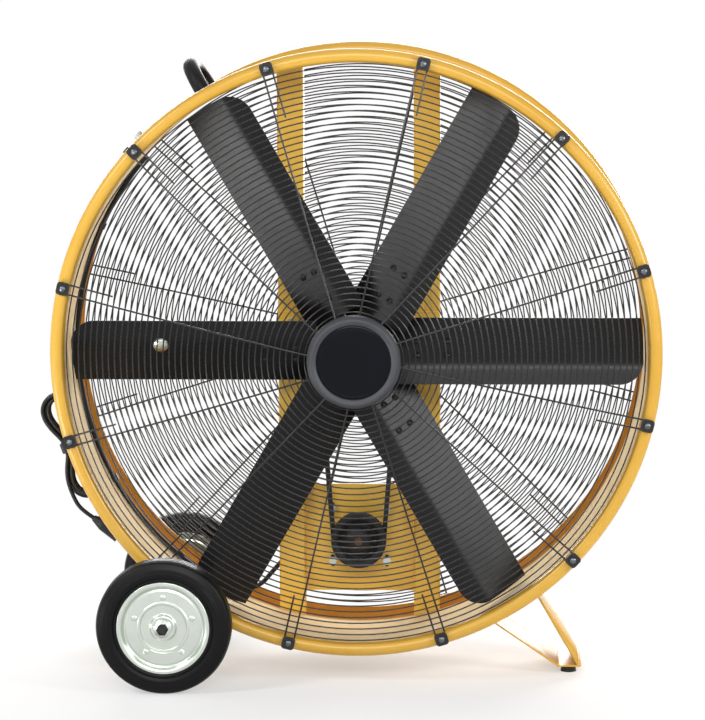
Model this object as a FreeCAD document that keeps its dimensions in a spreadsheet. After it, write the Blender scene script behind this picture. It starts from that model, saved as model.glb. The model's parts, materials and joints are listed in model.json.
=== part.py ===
import FreeCAD, Part
import math
import os
import Sketcher

from FreeCAD import Placement, Rotation, Vector

# A belt-driven drum fan on two wheels. Millimetres, +Z up, front towards -Y.
# The origin is on the floor below the middle of the drum.

DRIVING_SIZES = (
    # drum
    ("floor_gap", 51.0),
    ("drum_bore", 539.0),
    ("drum_wall", 1.5),
    ("drum_depth", 340.0),
    ("rim_tube", 26.0),
    ("rim_wall", 1.5),
    # clearances
    ("seat_gap", 0.3),
    ("run_gap", 0.05),
    ("weld_gap", 0.05),
    # wire guards
    ("ring_wire", 2.6),
    ("spoke_wire", 3.4),
    ("ring_count", 40),
    ("ring_first_radius", 90.0),
    ("ring_edge_gap", 6.0),
    ("guard_dome", 58.0),
    ("spoke_count", 12),
    ("spoke_start", 16.8),
    ("spoke_spread", 18.0),
    ("spoke_reach", 62.0),
    ("short_leg", 76.0),
    ("spoke_bend_radius", 25.0),
    ("clip_width", 24.0),
    ("clip_sheet", 2.5),
    ("clip_corner", 6.0),
    ("clip_head", 14.0),
    ("clip_head_rise", 5.0),
    ("clip_shank", 6.0),
    # centre cap
    ("cap_radius", 86.0),
    ("cap_recess", 67.5),
    ("cap_rise", 20.0),
    ("cap_floor", 12.0),
    ("cap_disc_sheet", 4.0),
    ("rear_disc_rise", 8.0),
    ("backplate_radius", 80.0),
    ("backplate_sheet", 3.0),
    ("cap_screw_circle", 45.0),
    ("cap_screw_count", 4),
    ("cap_screw_shank", 5.0),
    ("cap_screw_head", 10.0),
    # blades
    ("blade_count", 6),
    ("blade_tip_gap", 6.0),
    ("blade_width", 118.0),
    ("blade_lead", 35.0),
    ("blade_pitch", 30.0),
    ("lead_pitch", 10.0),
    ("blade_sheet", 2.3),
    ("blade_front", 112.0),
    ("blade_root", 92.0),
    ("root_width", 88.0),
    ("root_taper", 33.0),
    ("blade_corner", 45.0),
    # hub, shaft and bearings
    ("hub_radius", 42.0),
    ("hub_front", 118.0),
    ("hub_length", 70.0),
    ("arm_width", 44.0),
    ("arm_offset", 6.0),
    ("arm_sheet", 6.0),
    ("arm_reach", 185.0),
    ("rivet_inner", 112.0),
    ("rivet_outer", 168.0),
    ("rivet_spread", 24.0),
    ("rivet_shank", 6.0),
    ("rivet_head", 13.0),
    ("rivet_rise", 2.5),
    ("weight_reach", 365.0),
    ("weight_size", 30.0),
    ("weight_sheet", 5.0),
    ("weight_offset", 13.0),
    ("shaft_size", 25.0),
    ("shaft_front", 130.0),
    ("shaft_rear", 78.0),
    ("bearing_size", 52.0),
    ("bearing_width", 15.0),
    ("housing_size", 62.0),
    ("housing_front", 6.0),
    ("housing_length", 56.0),
    ("housing_flange", 104.0),
    ("flange_sheet", 6.0),
    ("housing_bolt_circle", 41.0),
    # belt drive
    ("fan_pulley", 165.0),
    ("motor_pulley", 105.0),
    ("pulley_width", 22.0),
    ("pulley_web", 10.0),
    ("pulley_boss", 52.0),
    ("boss_length", 30.0),
    ("pulley_rim", 14.5),
    ("groove_depth", 11.5),
    ("groove_width", 15.0),
    ("groove_floor", 7.0),
    ("belt_height", 9.0),
    ("belt_width", 13.2),
    ("belt_foot", 7.2),
    ("belt_inset", 0.5),
    ("belt_plane", 10.0),
    ("belt_centres", 374.0),
    # struts and motor
    ("channel_spacing", 258.0),
    ("channel_width", 50.0),
    ("channel_depth", 35.0),
    ("channel_wall", 3.0),
    ("channel_front", 30.0),
    ("bridge_width", 308.0),
    ("bridge_rise", 120.0),
    ("bridge_sheet", 4.0),
    ("bridge_bolt_rise", 80.0),
    ("plate_recess", 15.0),
    ("plate_sheet", 3.0),
    ("plate_top", 275.0),
    ("plate_bottom", 483.0),
    ("plate_flange", 18.0),
    ("plate_opening", 44.0),
    ("bolt_size", 8.0),
    ("bolt_head", 14.0),
    ("bolt_head_rise", 5.5),
    ("motor_size", 144.0),
    ("motor_length", 108.0),
    ("motor_bell", 18.0),
    ("motor_flange_width", 136.0),
    ("motor_flange_rise", 136.0),
    ("motor_flange_sheet", 9.0),
    ("motor_flange_corner", 14.0),
    ("motor_bolt_span", 104.0),
    ("motor_bolt_rise", 102.0),
    ("motor_shaft_size", 16.0),
    ("motor_shaft_depth", 24.0),
    # wheels
    ("wheel_size", 250.0),
    ("wheel_width", 60.0),
    ("axle_drop", 63.06),
    ("wheel_plane", 240.0),
    ("wheel_rim", 174.0),
    ("wheel_disc_sheet", 2.0),
    ("wheel_lip", 9.0),
    ("wheel_web_inset", 9.0),
    ("wheel_boss", 47.0),
    ("wheel_hub_length", 54.0),
    ("wheel_hub_tube", 30.0),
    ("tyre_shoulder", 10.0),
    ("axle_size", 20.0),
    ("axle_washer", 34.0),
    ("axle_washer_sheet", 2.5),
    ("axle_head", 19.0),
    ("axle_head_rise", 10.0),
    ("spacer_size", 28.0),
    ("bracket_span", 240.0),
    ("bracket_sheet", 4.0),
    ("bracket_angle", 22.0),
    ("bracket_boss", 44.0),
    # stand
    ("stand_depth", 160.0),
    ("stand_sheet", 3.0),
    ("stand_toe", 419.0),
    ("stand_heel", 378.0),
    ("stand_left_angle", 66.3),
    ("stand_right_angle", 53.3),
    ("stand_flange_angle", 6.0),
    ("stand_slot_width", 4.0),
    ("stand_slot_length", 105.0),
    ("stand_slot_spread", 76.0),
    ("foot_rise", 14.0),
    ("foot_top", 26.0),
    ("foot_size", 30.0),
    ("foot_spread", 100.0),
    # handle
    ("handle_angle", 120.5),
    ("handle_span", 136.0),
    ("handle_tube", 30.0),
    ("handle_rise", 86.0),
    ("handle_bend_radius", 52.0),
    ("handle_foot_width", 56.0),
    ("handle_foot_depth", 34.0),
    ("handle_foot_sheet", 4.0),
    ("handle_bolt_spread", 42.0),
    # switch
    ("switch_angle", 138.0),
    ("switch_width", 66.0),
    ("switch_depth", 74.0),
    ("switch_rise", 21.0),
    ("switch_corner", 5.0),
    ("knob_size", 18.0),
    ("knob_rise", 13.0),
    ("knob_offset", 18.5),
    # cable inside the drum
    ("cable_size", 9.0),
    ("cable_plane", 8.0),
    ("cable_leave", 234.0),
    ("cable_clip_width", 12.0),
    ("cable_clip_sheet", 2.0),
    # power cord
    ("cord_size", 8.0),
    ("hank_angle", 199.5),
    ("hank_stand_off", 35.5),
    ("hank_half", 70.0),
    ("hank_fold_radius", 24.0),
    ("hank_step", 10.4),
    ("hank_waist", 17.0),
    ("hank_layer", 8.65),
    ("hank_layers", 4),
    ("runs_per_layer", 3),
    ("tie_width", 20.0),
    ("tie_sheet", 2.0),
    ("tie_gap", 1.0),
    ("hook_wire", 10.0),
    ("hook_bend_radius", 14.0),
    ("hook_inset", 14.0),
    ("hook_plane", 42.0),
    ("hook_reach", 34.0),
    ("gland_gap", 32.5),
    ("gland_size", 24.0),
    ("gland_boot", 26.0),
    ("plug_size", 32.0),
    ("plug_length", 38.0),
    ("plug_boot", 22.0),
    ("prong_length", 16.0),
)

# Sizes that follow from the ones above: the drum carries the guards, the blades, the axle and the hank.
FOLLOWING_SIZES = (
    ("axis_height", "drum_bore + rim_tube + floor_gap"),
    ("ring_last", "drum_bore - ring_edge_gap"),
    ("blade_sweep", "drum_bore - blade_tip_gap"),
    ("axle_reach", "drum_bore + drum_wall + axle_drop"),
    ("wheel_side", "sqrt(pow(axle_reach; 2) - pow(axis_height - wheel_size / 2; 2))"),
    ("hank_rise", "drum_bore + drum_wall + hank_stand_off"),
)

DOC = FreeCAD.newDocument("DrumFan")
SHEET = DOC.addObject("Spreadsheet::Sheet", "Sizes")
FORMULAS = tuple((alias, f"={formula}") for alias, formula in FOLLOWING_SIZES)
for row, (alias, entry) in enumerate(DRIVING_SIZES + FORMULAS, start=1):
    SHEET.set(f"A{row}", str(entry))
    SHEET.setAlias(f"A{row}", alias)
DOC.recompute()

NODES = {}
ACROSS = Vector(1, 0, 0)
AXIAL = Vector(0, 1, 0)
UP = Vector(0, 0, 1)


class Size:
    """A formula of the sheet's cells: its value now, and its text for an expression."""

    def __init__(self, value, text):
        self.value = value
        self.text = text

    @staticmethod
    def of(item):
        """Turn a plain number into a Size."""
        return item if isinstance(item, Size) else Size(float(item), repr(float(item)))

    def __add__(self, other):
        other = Size.of(other)
        return Size(self.value + other.value, f"({self.text} + {other.text})")

    def __sub__(self, other):
        other = Size.of(other)
        return Size(self.value - other.value, f"({self.text} - {other.text})")

    def __mul__(self, other):
        other = Size.of(other)
        return Size(self.value * other.value, f"({self.text} * {other.text})")

    def __truediv__(self, other):
        other = Size.of(other)
        return Size(self.value / other.value, f"({self.text} / {other.text})")

    def __rsub__(self, other):
        return Size.of(other) - self

    def __neg__(self):
        return Size(-self.value, f"(0 - {self.text})")

    __radd__ = __add__
    __rmul__ = __mul__


def tangent(angle):
    """Tangent of an angle in degrees."""
    return Size(math.tan(math.radians(angle.value)), f"tan({angle.text} * 1deg)")


class Cells:
    """The sheet's cells by name, as formulas."""

    def __getattr__(self, alias):
        return Size(float(SHEET.get(alias)), f"Sizes.{alias}")


class Numbers:
    """The sheet's cells by name, as plain numbers."""

    def __getattr__(self, alias):
        return float(SHEET.get(alias))


CELL = Cells()
NUM = Numbers()


def keep(node, item):
    """Enter a finished document object under the name of its file."""
    item.Label = node
    NODES[node] = item
    return item


def solid_node(node, shape, placement=None):
    """A document object that holds a shape made from the sheet's sizes."""
    item = DOC.addObject("Part::Feature", node)
    item.Shape = shape
    if placement is not None:
        item.Placement = placement
    return keep(node, item)


def put(item, **formulas):
    """Tie an object's place to the sheet: x, y and z are formulas."""
    for letter, formula in formulas.items():
        item.setExpression(f"Placement.Base.{letter}", Size.of(formula).text)
    return item


def sketch_in(body, role):
    """A sketch on one of the body's own origin planes."""
    sketch = body.newObject("Sketcher::SketchObject", body.Name + "_sketch")
    plane = next(item for item in body.Origin.OriginFeatures if item.Role == role)
    sketch.AttachmentSupport = [(plane, "")]
    sketch.MapMode = "FlatFace"
    return sketch


def tie_point(sketch, geometry, end, x, y):
    """Dimension a point from the sketch's origin."""
    for kind, formula, axis in (("DistanceX", x, -2), ("DistanceY", y, -1)):
        formula = Size.of(formula)
        if formula.text in ("0.0", "-0.0"):
            sketch.addConstraint(Sketcher.Constraint("PointOnObject", geometry, end, axis))
            continue
        index = sketch.addConstraint(
            Sketcher.Constraint(kind, -1, 1, geometry, end, formula.value))
        sketch.setExpression(f"Constraints[{index}]", formula.text)


def tie_radius(sketch, geometry, radius):
    """Dimension an arc or a circle."""
    radius = Size.of(radius)
    index = sketch.addConstraint(Sketcher.Constraint("Radius", geometry, radius.value))
    sketch.setExpression(f"Constraints[{index}]", radius.text)


def circle(sketch, x, y, radius):
    """A dimensioned circle."""
    centre = Vector(Size.of(x).value, Size.of(y).value, 0)
    index = sketch.addGeometry(Part.Circle(centre, UP, Size.of(radius).value))
    tie_point(sketch, index, 3, x, y)
    tie_radius(sketch, index, radius)


def outline(sketch, corners):
    """A closed outline. A corner is (x, y), or (x, y, radius) where it is rounded."""
    count = len(corners)
    places = [Vector(Size.of(c[0]).value, Size.of(c[1]).value, 0) for c in corners]
    radii = [Size.of(c[2]).value if len(c) > 2 else 0.0 for c in corners]
    before, after, turns = [], [], []
    for i in range(count):
        way_in = (places[i] - places[i - 1]).normalize()
        way_out = (places[(i + 1) % count] - places[i]).normalize()
        turn = math.atan2(way_in.x * way_out.y - way_in.y * way_out.x, way_in.dot(way_out))
        trim = radii[i] * math.tan(abs(turn) / 2)
        before.append(places[i] - way_in * trim)
        after.append(places[i] + way_out * trim)
        turns.append(turn)
    lines = []
    for i in range(count):
        side = Part.LineSegment(after[i], before[(i + 1) % count])
        lines.append(sketch.addGeometry(side))
    for i in range(count):
        x, y = corners[i][:2]
        if not radii[i]:
            sketch.addConstraint(Sketcher.Constraint("Coincident", lines[i - 1], 2, lines[i], 1))
            tie_point(sketch, lines[i], 1, x, y)
            continue
        way_in = (places[i] - places[i - 1]).normalize()
        side = math.copysign(1.0, turns[i])
        centre = before[i] + Vector(-way_in.y, way_in.x, 0) * (side * radii[i])
        ends = (before[i], after[i]) if side > 0 else (after[i], before[i])
        start, stop = (math.atan2(p.y - centre.y, p.x - centre.x) for p in ends)
        if stop < start:
            stop += 2 * math.pi
        ring = Part.Circle(centre, UP, radii[i])
        arc = sketch.addGeometry(Part.ArcOfCircle(ring, start, stop))
        first, last = (1, 2) if side > 0 else (2, 1)
        corner = sketch.addGeometry(Part.Point(places[i]), True)
        tie_point(sketch, corner, 1, x, y)
        for line in (lines[i - 1], lines[i]):
            sketch.addConstraint(Sketcher.Constraint("PointOnObject", corner, 1, line))
        sketch.addConstraint(Sketcher.Constraint("Tangent", lines[i - 1], 2, arc, first))
        sketch.addConstraint(Sketcher.Constraint("Tangent", arc, last, lines[i], 1))
        tie_radius(sketch, arc, corners[i][2])


def lathe(name, corners):
    """A body turned about its own Y axis; corners are (radius, place along the axis)."""
    body = DOC.addObject("PartDesign::Body", name)
    sketch = sketch_in(body, "XY_Plane")
    outline(sketch, corners)
    turning = body.newObject("PartDesign::Revolution", name + "_turning")
    turning.Profile = sketch
    turning.ReferenceAxis = (sketch, ["V_Axis"])
    turning.Angle = 360
    return body


def ring_corners(inner, outer, start, stop):
    """Corners of a plain ring between two radii and two places along the axis."""
    return ((inner, start), (outer, start), (outer, stop), (inner, stop))


def padded(name, role, corners, length, holes=()):
    """A body raised evenly to both sides of a sketch plane; holes are (x, y, radius)."""
    body = DOC.addObject("PartDesign::Body", name)
    sketch = sketch_in(body, role)
    outline(sketch, corners)
    for hole in holes:
        circle(sketch, *hole)
    pad = body.newObject("PartDesign::Pad", name + "_pad")
    pad.Profile = sketch
    pad.SideType = "Symmetric"
    pad.setExpression("Length", Size.of(length).text)
    return body


def rectangle(half_width, low, high):
    """Corners of a rectangle that is even about the upright axis."""
    return ((-half_width, low), (half_width, low), (half_width, high), (-half_width, high))


def drum_place(angle, reach=0.0, plane=0.0):
    """A place on the drum: local Z points out from the axis, local Y to the rear."""
    turn = Rotation(AXIAL, 90 - angle)
    base = Vector(0, plane, NUM.axis_height) + turn.multVec(Vector(0, 0, reach))
    return Placement(base, turn)


def moved(shape, placement):
    """A copy of a shape at a place."""
    copy = shape.copy()
    copy.Placement = placement.multiply(copy.Placement)
    return copy


def mirrored(shape):
    """A copy of a shape on the other side of the drum's middle plane."""
    return shape.mirror(Vector(0, 0, 0), AXIAL)


def cylinder(radius, start, direction, length):
    """A solid cylinder."""
    return Part.makeCylinder(radius, length, start, direction)


def hexagon(across, length):
    """A hexagonal prism that stands on the local origin along Z."""
    reach = across / math.sqrt(3)
    points = [Vector(reach * math.cos(k * math.pi / 3), reach * math.sin(k * math.pi / 3), 0)
              for k in range(7)]
    return Part.Face(Part.makePolygon(points)).extrude(UP * length)


def hex_bolt(shank, head, rise, length):
    """A hexagon bolt: the head stands on the local origin, the shank goes down."""
    body = hexagon(head, rise)
    return body.fuse(cylinder(shank / 2, Vector(0, 0, -length), UP, length)).removeSplitter()


def round_bolt(shank, head, rise, length):
    """A round-headed bolt: the head stands on the local origin, the shank goes down."""
    body = Part.makeCone(head / 2, head / 2 - rise / 3, rise)
    return body.fuse(cylinder(shank / 2, Vector(0, 0, -length), UP, length)).removeSplitter()


def facing(direction, base):
    """A placement that turns local Z to a direction."""
    return Placement(base, Rotation(UP, direction))


def copies_round(shape, count, start):
    """Copies of a shape that is built at the top of the drum, evenly round the axis."""
    step = 360.0 / count
    return [moved(shape, drum_place(start + k * step)) for k in range(int(count))]


def hoop_sector(inner, outer, depth, half_angle):
    """A curved plate about the drum's axis, centred on local Z."""
    start = Vector(0, -depth / 2, 0)
    plate = Part.makeCylinder(outer, depth, start, AXIAL, 2 * half_angle)
    plate = plate.cut(Part.makeCylinder(inner, depth, start, AXIAL)).Solids[0]
    middle = plate.CenterOfMass
    turn = math.degrees(math.atan2(middle.x, middle.z))
    plate.rotate(Vector(0, 0, 0), AXIAL, -turn)
    return plate


def rounded_route(points, share=0.45):
    """Straight runs joined by tangent arcs, each as large as its two runs allow."""
    edges = []
    radii = []
    start = points[0]
    for before, corner, after in zip(points, points[1:], points[2:]):
        way_in = (corner - before).normalize()
        way_out = (after - corner).normalize()
        turn = way_in.getAngle(way_out)
        trim = share * min((corner - before).Length, (after - corner).Length)
        radius = trim / math.tan(turn / 2)
        radii.append(radius)
        first = corner - way_in * trim
        last = corner + way_out * trim
        inward = (way_out - way_in).normalize()
        middle = corner + inward * (radius / math.cos(turn / 2) - radius)
        edges.append(Part.LineSegment(start, first).toShape())
        edges.append(Part.Arc(first, middle, last).toShape())
        start = last
    edges.append(Part.LineSegment(start, points[-1]).toShape())
    return edges, radii


def tube_on(edges, size, name):
    """A round tube along a path; its volume is compared with section times length."""
    path = Part.Wire(edges)
    first = path.OrderedEdges[0]
    start = first.valueAt(first.FirstParameter)
    along = first.tangentAt(first.FirstParameter)
    section = Part.Wire([Part.Circle(start, along, size / 2).toShape()])
    tube = path.makePipeShell([section], True, False)
    expected = math.pi * size * size / 4 * path.Length
    print(f"{name}: length {path.Length:.1f}, volume ratio {tube.Volume / expected:.5f}")
    return tube


def build_drum():
    """The drum wall and its two tubular rims."""
    tube = CELL.rim_tube / 2
    hoop = CELL.drum_bore + tube
    # The wall ends where the round rim begins.
    reach_in = NUM.rim_tube / 2 - NUM.drum_wall
    bite = math.sqrt((NUM.rim_tube / 2) ** 2 - reach_in ** 2)
    half = NUM.drum_depth / 2 - NUM.rim_tube / 2 - bite - NUM.seat_gap
    outer = DOC.addObject("Part::Cylinder", "drum_outside")
    inner = DOC.addObject("Part::Cylinder", "drum_inside")
    bite_text = "sqrt(pow(Sizes.rim_tube / 2; 2) - pow(Sizes.rim_tube / 2 - Sizes.drum_wall; 2))"
    half_text = f"(Sizes.drum_depth / 2 - Sizes.rim_tube / 2 - {bite_text} - Sizes.seat_gap)"
    for item, radius in ((outer, CELL.drum_bore + CELL.drum_wall), (inner, CELL.drum_bore)):
        item.setExpression("Radius", radius.text)
        item.setExpression("Height", f"2 * {half_text}")
        item.Placement = Placement(Vector(0, half, NUM.axis_height), Rotation(ACROSS, 90))
        item.setExpression("Placement.Base.y", half_text)
        put(item, z=CELL.axis_height)
    shell = DOC.addObject("Part::Cut", "drum_shell")
    shell.Base = outer
    shell.Tool = inner
    keep("drum_shell", shell)
    for node, side in (("front_rim", -1), ("rear_rim", 1)):
        pieces = []
        for part, radius in (("skin", tube), ("hollow", tube - CELL.rim_wall)):
            torus = DOC.addObject("Part::Torus", f"{node}_{part}")
            torus.setExpression("Radius1", hoop.text)
            torus.setExpression("Radius2", radius.text)
            torus.Placement = Placement(Vector(0, 0, 0), Rotation(ACROSS, 90))
            put(torus, y=(CELL.drum_depth / 2 - tube) * side, z=CELL.axis_height)
            pieces.append(torus)
        rim = DOC.addObject("Part::Cut", node)
        rim.Base, rim.Tool = pieces
        keep(node, rim)


class Guard:
    """The domed wire guard: places on its dome, measured forward of the drum's middle."""

    def __init__(self):
        self.edge = NUM.ring_last + 1.0
        rise = NUM.guard_dome
        self.sphere = (self.edge ** 2 + rise ** 2) / (2 * rise)
        self.slope = math.asin(self.edge / self.sphere)
        self.flat = NUM.drum_depth / 2 + NUM.seat_gap + NUM.spoke_wire / 2
        self.start = self.flat + NUM.spoke_bend_radius * (1 - math.cos(self.slope))
        self.base = self.start - self.sphere * math.cos(self.slope)
        self.bolt = NUM.drum_bore + NUM.rim_tube / 2

    def spoke(self, reach, offset=0.0):
        """Height of a spoke's middle line over the dome."""
        return self.base + math.sqrt(self.sphere ** 2 - offset ** 2 - reach ** 2)

    def ring(self, reach):
        """Height of a ring's middle line, under the spokes."""
        drop = (NUM.spoke_wire + NUM.ring_wire) / 2 + NUM.weld_gap
        return self.base + math.sqrt((self.sphere - drop) ** 2 - reach ** 2)

    def cap_seat(self):
        """Height of the face that rests on the spokes in the middle."""
        return self.spoke(NUM.spoke_reach) + NUM.spoke_wire / 2 + NUM.weld_gap

    def plate_seat(self):
        """Height of the face that holds the spokes from behind."""
        low = self.spoke(NUM.backplate_radius, NUM.spoke_spread / 2)
        return low - NUM.spoke_wire / 2 - NUM.weld_gap

    def hairpin(self):
        """One spoke: a wire bent round its clip bolt, with a long and a short leg."""
        half = NUM.spoke_spread / 2
        bend = NUM.spoke_bend_radius
        level = self.spoke(self.edge, half) - bend * (1 - math.cos(self.slope))
        foot = self.edge + bend * math.sin(self.slope)

        def at(offset, reach, height):
            return Vector(offset, -height, reach)

        def leg(offset, tip):
            middle = (tip + self.edge) / 2
            turn = self.slope / 2
            dome = Part.Arc(at(offset, tip, self.spoke(tip, half)),
                            at(offset, middle, self.spoke(middle, half)),
                            at(offset, self.edge, self.spoke(self.edge, half)))
            swing = Part.Arc(at(offset, self.edge, self.spoke(self.edge, half)),
                             at(offset, foot - bend * math.sin(turn),
                                level + bend * (1 - math.cos(turn))),
                             at(offset, foot, level))
            run = Part.LineSegment(at(offset, foot, level), at(offset, self.bolt, level))
            return [dome.toShape(), swing.toShape(), run.toShape()]

        crown = Part.Arc(at(-half, self.bolt, level), at(0, self.bolt + half, level),
                         at(half, self.bolt, level)).toShape()
        long_leg = leg(-half, NUM.spoke_reach)
        short_leg = leg(half, self.edge - NUM.short_leg)
        path = Part.Wire(Part.__sortEdges__(long_leg + [crown] + short_leg))
        first = path.OrderedEdges[0]
        start = first.valueAt(first.FirstParameter)
        along = first.tangentAt(first.FirstParameter)
        section = Part.Wire([Part.Circle(start, along, NUM.spoke_wire / 2).toShape()])
        return path.makePipeShell([section], True, False)

    def hoop(self, reach):
        """One ring, of an eight-sided section."""
        height = self.ring(reach)
        points = []
        for k in range(9):
            turn = math.pi * (k + 0.5) / 4
            points.append(Vector(reach + NUM.ring_wire / 2 * math.cos(turn),
                                 NUM.ring_wire / 2 * math.sin(turn) - height, NUM.axis_height))
        section = Part.Face(Part.makePolygon(points))
        return section.revolve(UP * NUM.axis_height, AXIAL, 360)

    def wires(self):
        """All rings and spokes of the front guard."""
        solids = []
        count = int(NUM.ring_count)
        pitch = (NUM.ring_last - NUM.ring_first_radius) / (count - 1)
        for k in range(count):
            reach = NUM.ring_first_radius + k * pitch
            solids.append(self.hoop(reach))
        return solids + copies_round(self.hairpin(), NUM.spoke_count, NUM.spoke_start)

    def clip_base(self):
        """Height of the underside of a clip plate."""
        return self.flat + NUM.spoke_wire / 2 + NUM.weld_gap


def build_guards():
    """Wire guards, their clips, and the plates that hold the spokes in the middle."""
    guard = Guard()
    wires = Part.makeCompound(guard.wires())
    solid_node("front_grille", wires)
    solid_node("rear_grille", mirrored(wires))

    under = guard.clip_base()
    plate = Part.makeBox(NUM.clip_width, NUM.clip_sheet, NUM.clip_width,
                         Vector(-NUM.clip_width / 2, -under - NUM.clip_sheet,
                                guard.bolt - NUM.clip_width / 2))
    corners = [e for e in plate.Edges if abs(e.tangentAt(e.FirstParameter).y) > 0.9]
    plate = plate.makeFillet(NUM.clip_corner, corners)
    shank = NUM.clip_shank / 2
    deep = under + NUM.clip_sheet - NUM.drum_depth / 2 - NUM.run_gap
    plate = plate.cut(cylinder(shank + NUM.run_gap, Vector(0, -under - 20, guard.bolt), AXIAL, 40))
    bolt = moved(round_bolt(NUM.clip_shank, NUM.clip_head, NUM.clip_head_rise, deep),
                 facing(-AXIAL, Vector(0, -under - NUM.clip_sheet, guard.bolt)))
    for node, shape in (("guard_clips", plate), ("clip_bolts", bolt)):
        front = copies_round(shape, NUM.spoke_count, NUM.spoke_start)
        both = front + [mirrored(item) for item in front]
        solid_node(node, Part.makeCompound(both))
    return guard


def build_centre(guard):
    """The front cap, the rear disc, and the plates and screws behind them."""
    seat = guard.cap_seat()
    cap = lathe("cap_bezel", (
        (0, 0),
        (CELL.cap_radius - 4, 0),
        (CELL.cap_radius, -CELL.cap_rise * 0.2),
        (CELL.cap_radius - 2, -CELL.cap_rise, 7),
        (CELL.cap_recess + 1.5, -CELL.cap_rise, 3),
        (CELL.cap_recess, -CELL.cap_floor),
        (0, -CELL.cap_floor)))
    disc = lathe("cap_disc", (
        (0, -CELL.cap_floor),
        (CELL.cap_recess - CELL.seat_gap, -CELL.cap_floor),
        (CELL.cap_recess - CELL.seat_gap, -CELL.cap_floor - CELL.cap_disc_sheet * 0.7),
        (CELL.cap_recess - 3, -CELL.cap_floor - CELL.cap_disc_sheet),
        (0, -CELL.cap_floor - CELL.cap_disc_sheet)))
    rear = lathe("rear_centre_disc", (
        (0, 0),
        (CELL.cap_radius - 4, 0),
        (CELL.cap_radius, CELL.rear_disc_rise * 0.4),
        (CELL.cap_radius - 3, CELL.rear_disc_rise, 3),
        (0, CELL.rear_disc_rise)))
    for item, side in ((cap, -1), (disc, -1), (rear, 1)):
        keep(item.Name, item)
        put(item, z=CELL.axis_height)
        item.Placement.Base = Vector(0, side * seat, NUM.axis_height)

    plate_face = guard.plate_seat()
    centre = Vector(0, -plate_face, NUM.axis_height)
    plate = cylinder(NUM.backplate_radius, centre, AXIAL, NUM.backplate_sheet)
    back = Vector(0, -plate_face + NUM.backplate_sheet, 0)
    long_shank = seat - plate_face + NUM.backplate_sheet - NUM.weld_gap
    screws = []
    for k in range(int(NUM.cap_screw_count)):
        turn = math.radians(NUM.spoke_start - 15 + k * 360 / NUM.cap_screw_count)
        place = Vector(NUM.cap_screw_circle * math.cos(turn), 0,
                       NUM.axis_height + NUM.cap_screw_circle * math.sin(turn))
        plate = plate.cut(cylinder(NUM.cap_screw_shank / 2 + NUM.run_gap,
                                   place + Vector(0, -plate_face - 10, 0), AXIAL, 40))
        screw = round_bolt(NUM.cap_screw_shank, NUM.cap_screw_head, 3.0, long_shank)
        screws.append(moved(screw, facing(AXIAL, place + back)))
    solid_node("guard_backplates", Part.makeCompound([plate, mirrored(plate)]))
    solid_node("cap_screws", Part.makeCompound(screws + [mirrored(item) for item in screws]))


def blade_line(offset):
    """Place along the axis of a blade's front face; offset runs towards its trailing edge."""
    crease = CELL.blade_lead - CELL.blade_width / 2
    fold = CELL.blade_lead * tangent(CELL.lead_pitch) - CELL.blade_front
    return fold + (offset - crease) * tangent(CELL.blade_pitch)


def rivet_places():
    """Places and direction of one blade's rivets, on the front face of the blade at 0 degrees."""
    pitch = math.radians(NUM.blade_pitch)
    front = Vector(0, -math.cos(pitch), math.sin(pitch))
    places = []
    for reach in (NUM.rivet_inner, NUM.rivet_outer):
        for side in (-1, 1):
            offset = NUM.arm_offset + side * NUM.rivet_spread / 2
            places.append(Vector(reach, blade_line(Size.of(offset)).value, offset))
    return places, front


def around(shape, k):
    """A copy of a shape of the blade at 0 degrees, turned to blade k and lifted to the axis."""
    turn = Rotation(AXIAL, -k * 360.0 / NUM.blade_count)
    return moved(shape, Placement(Vector(0, 0, NUM.axis_height), turn))


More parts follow.
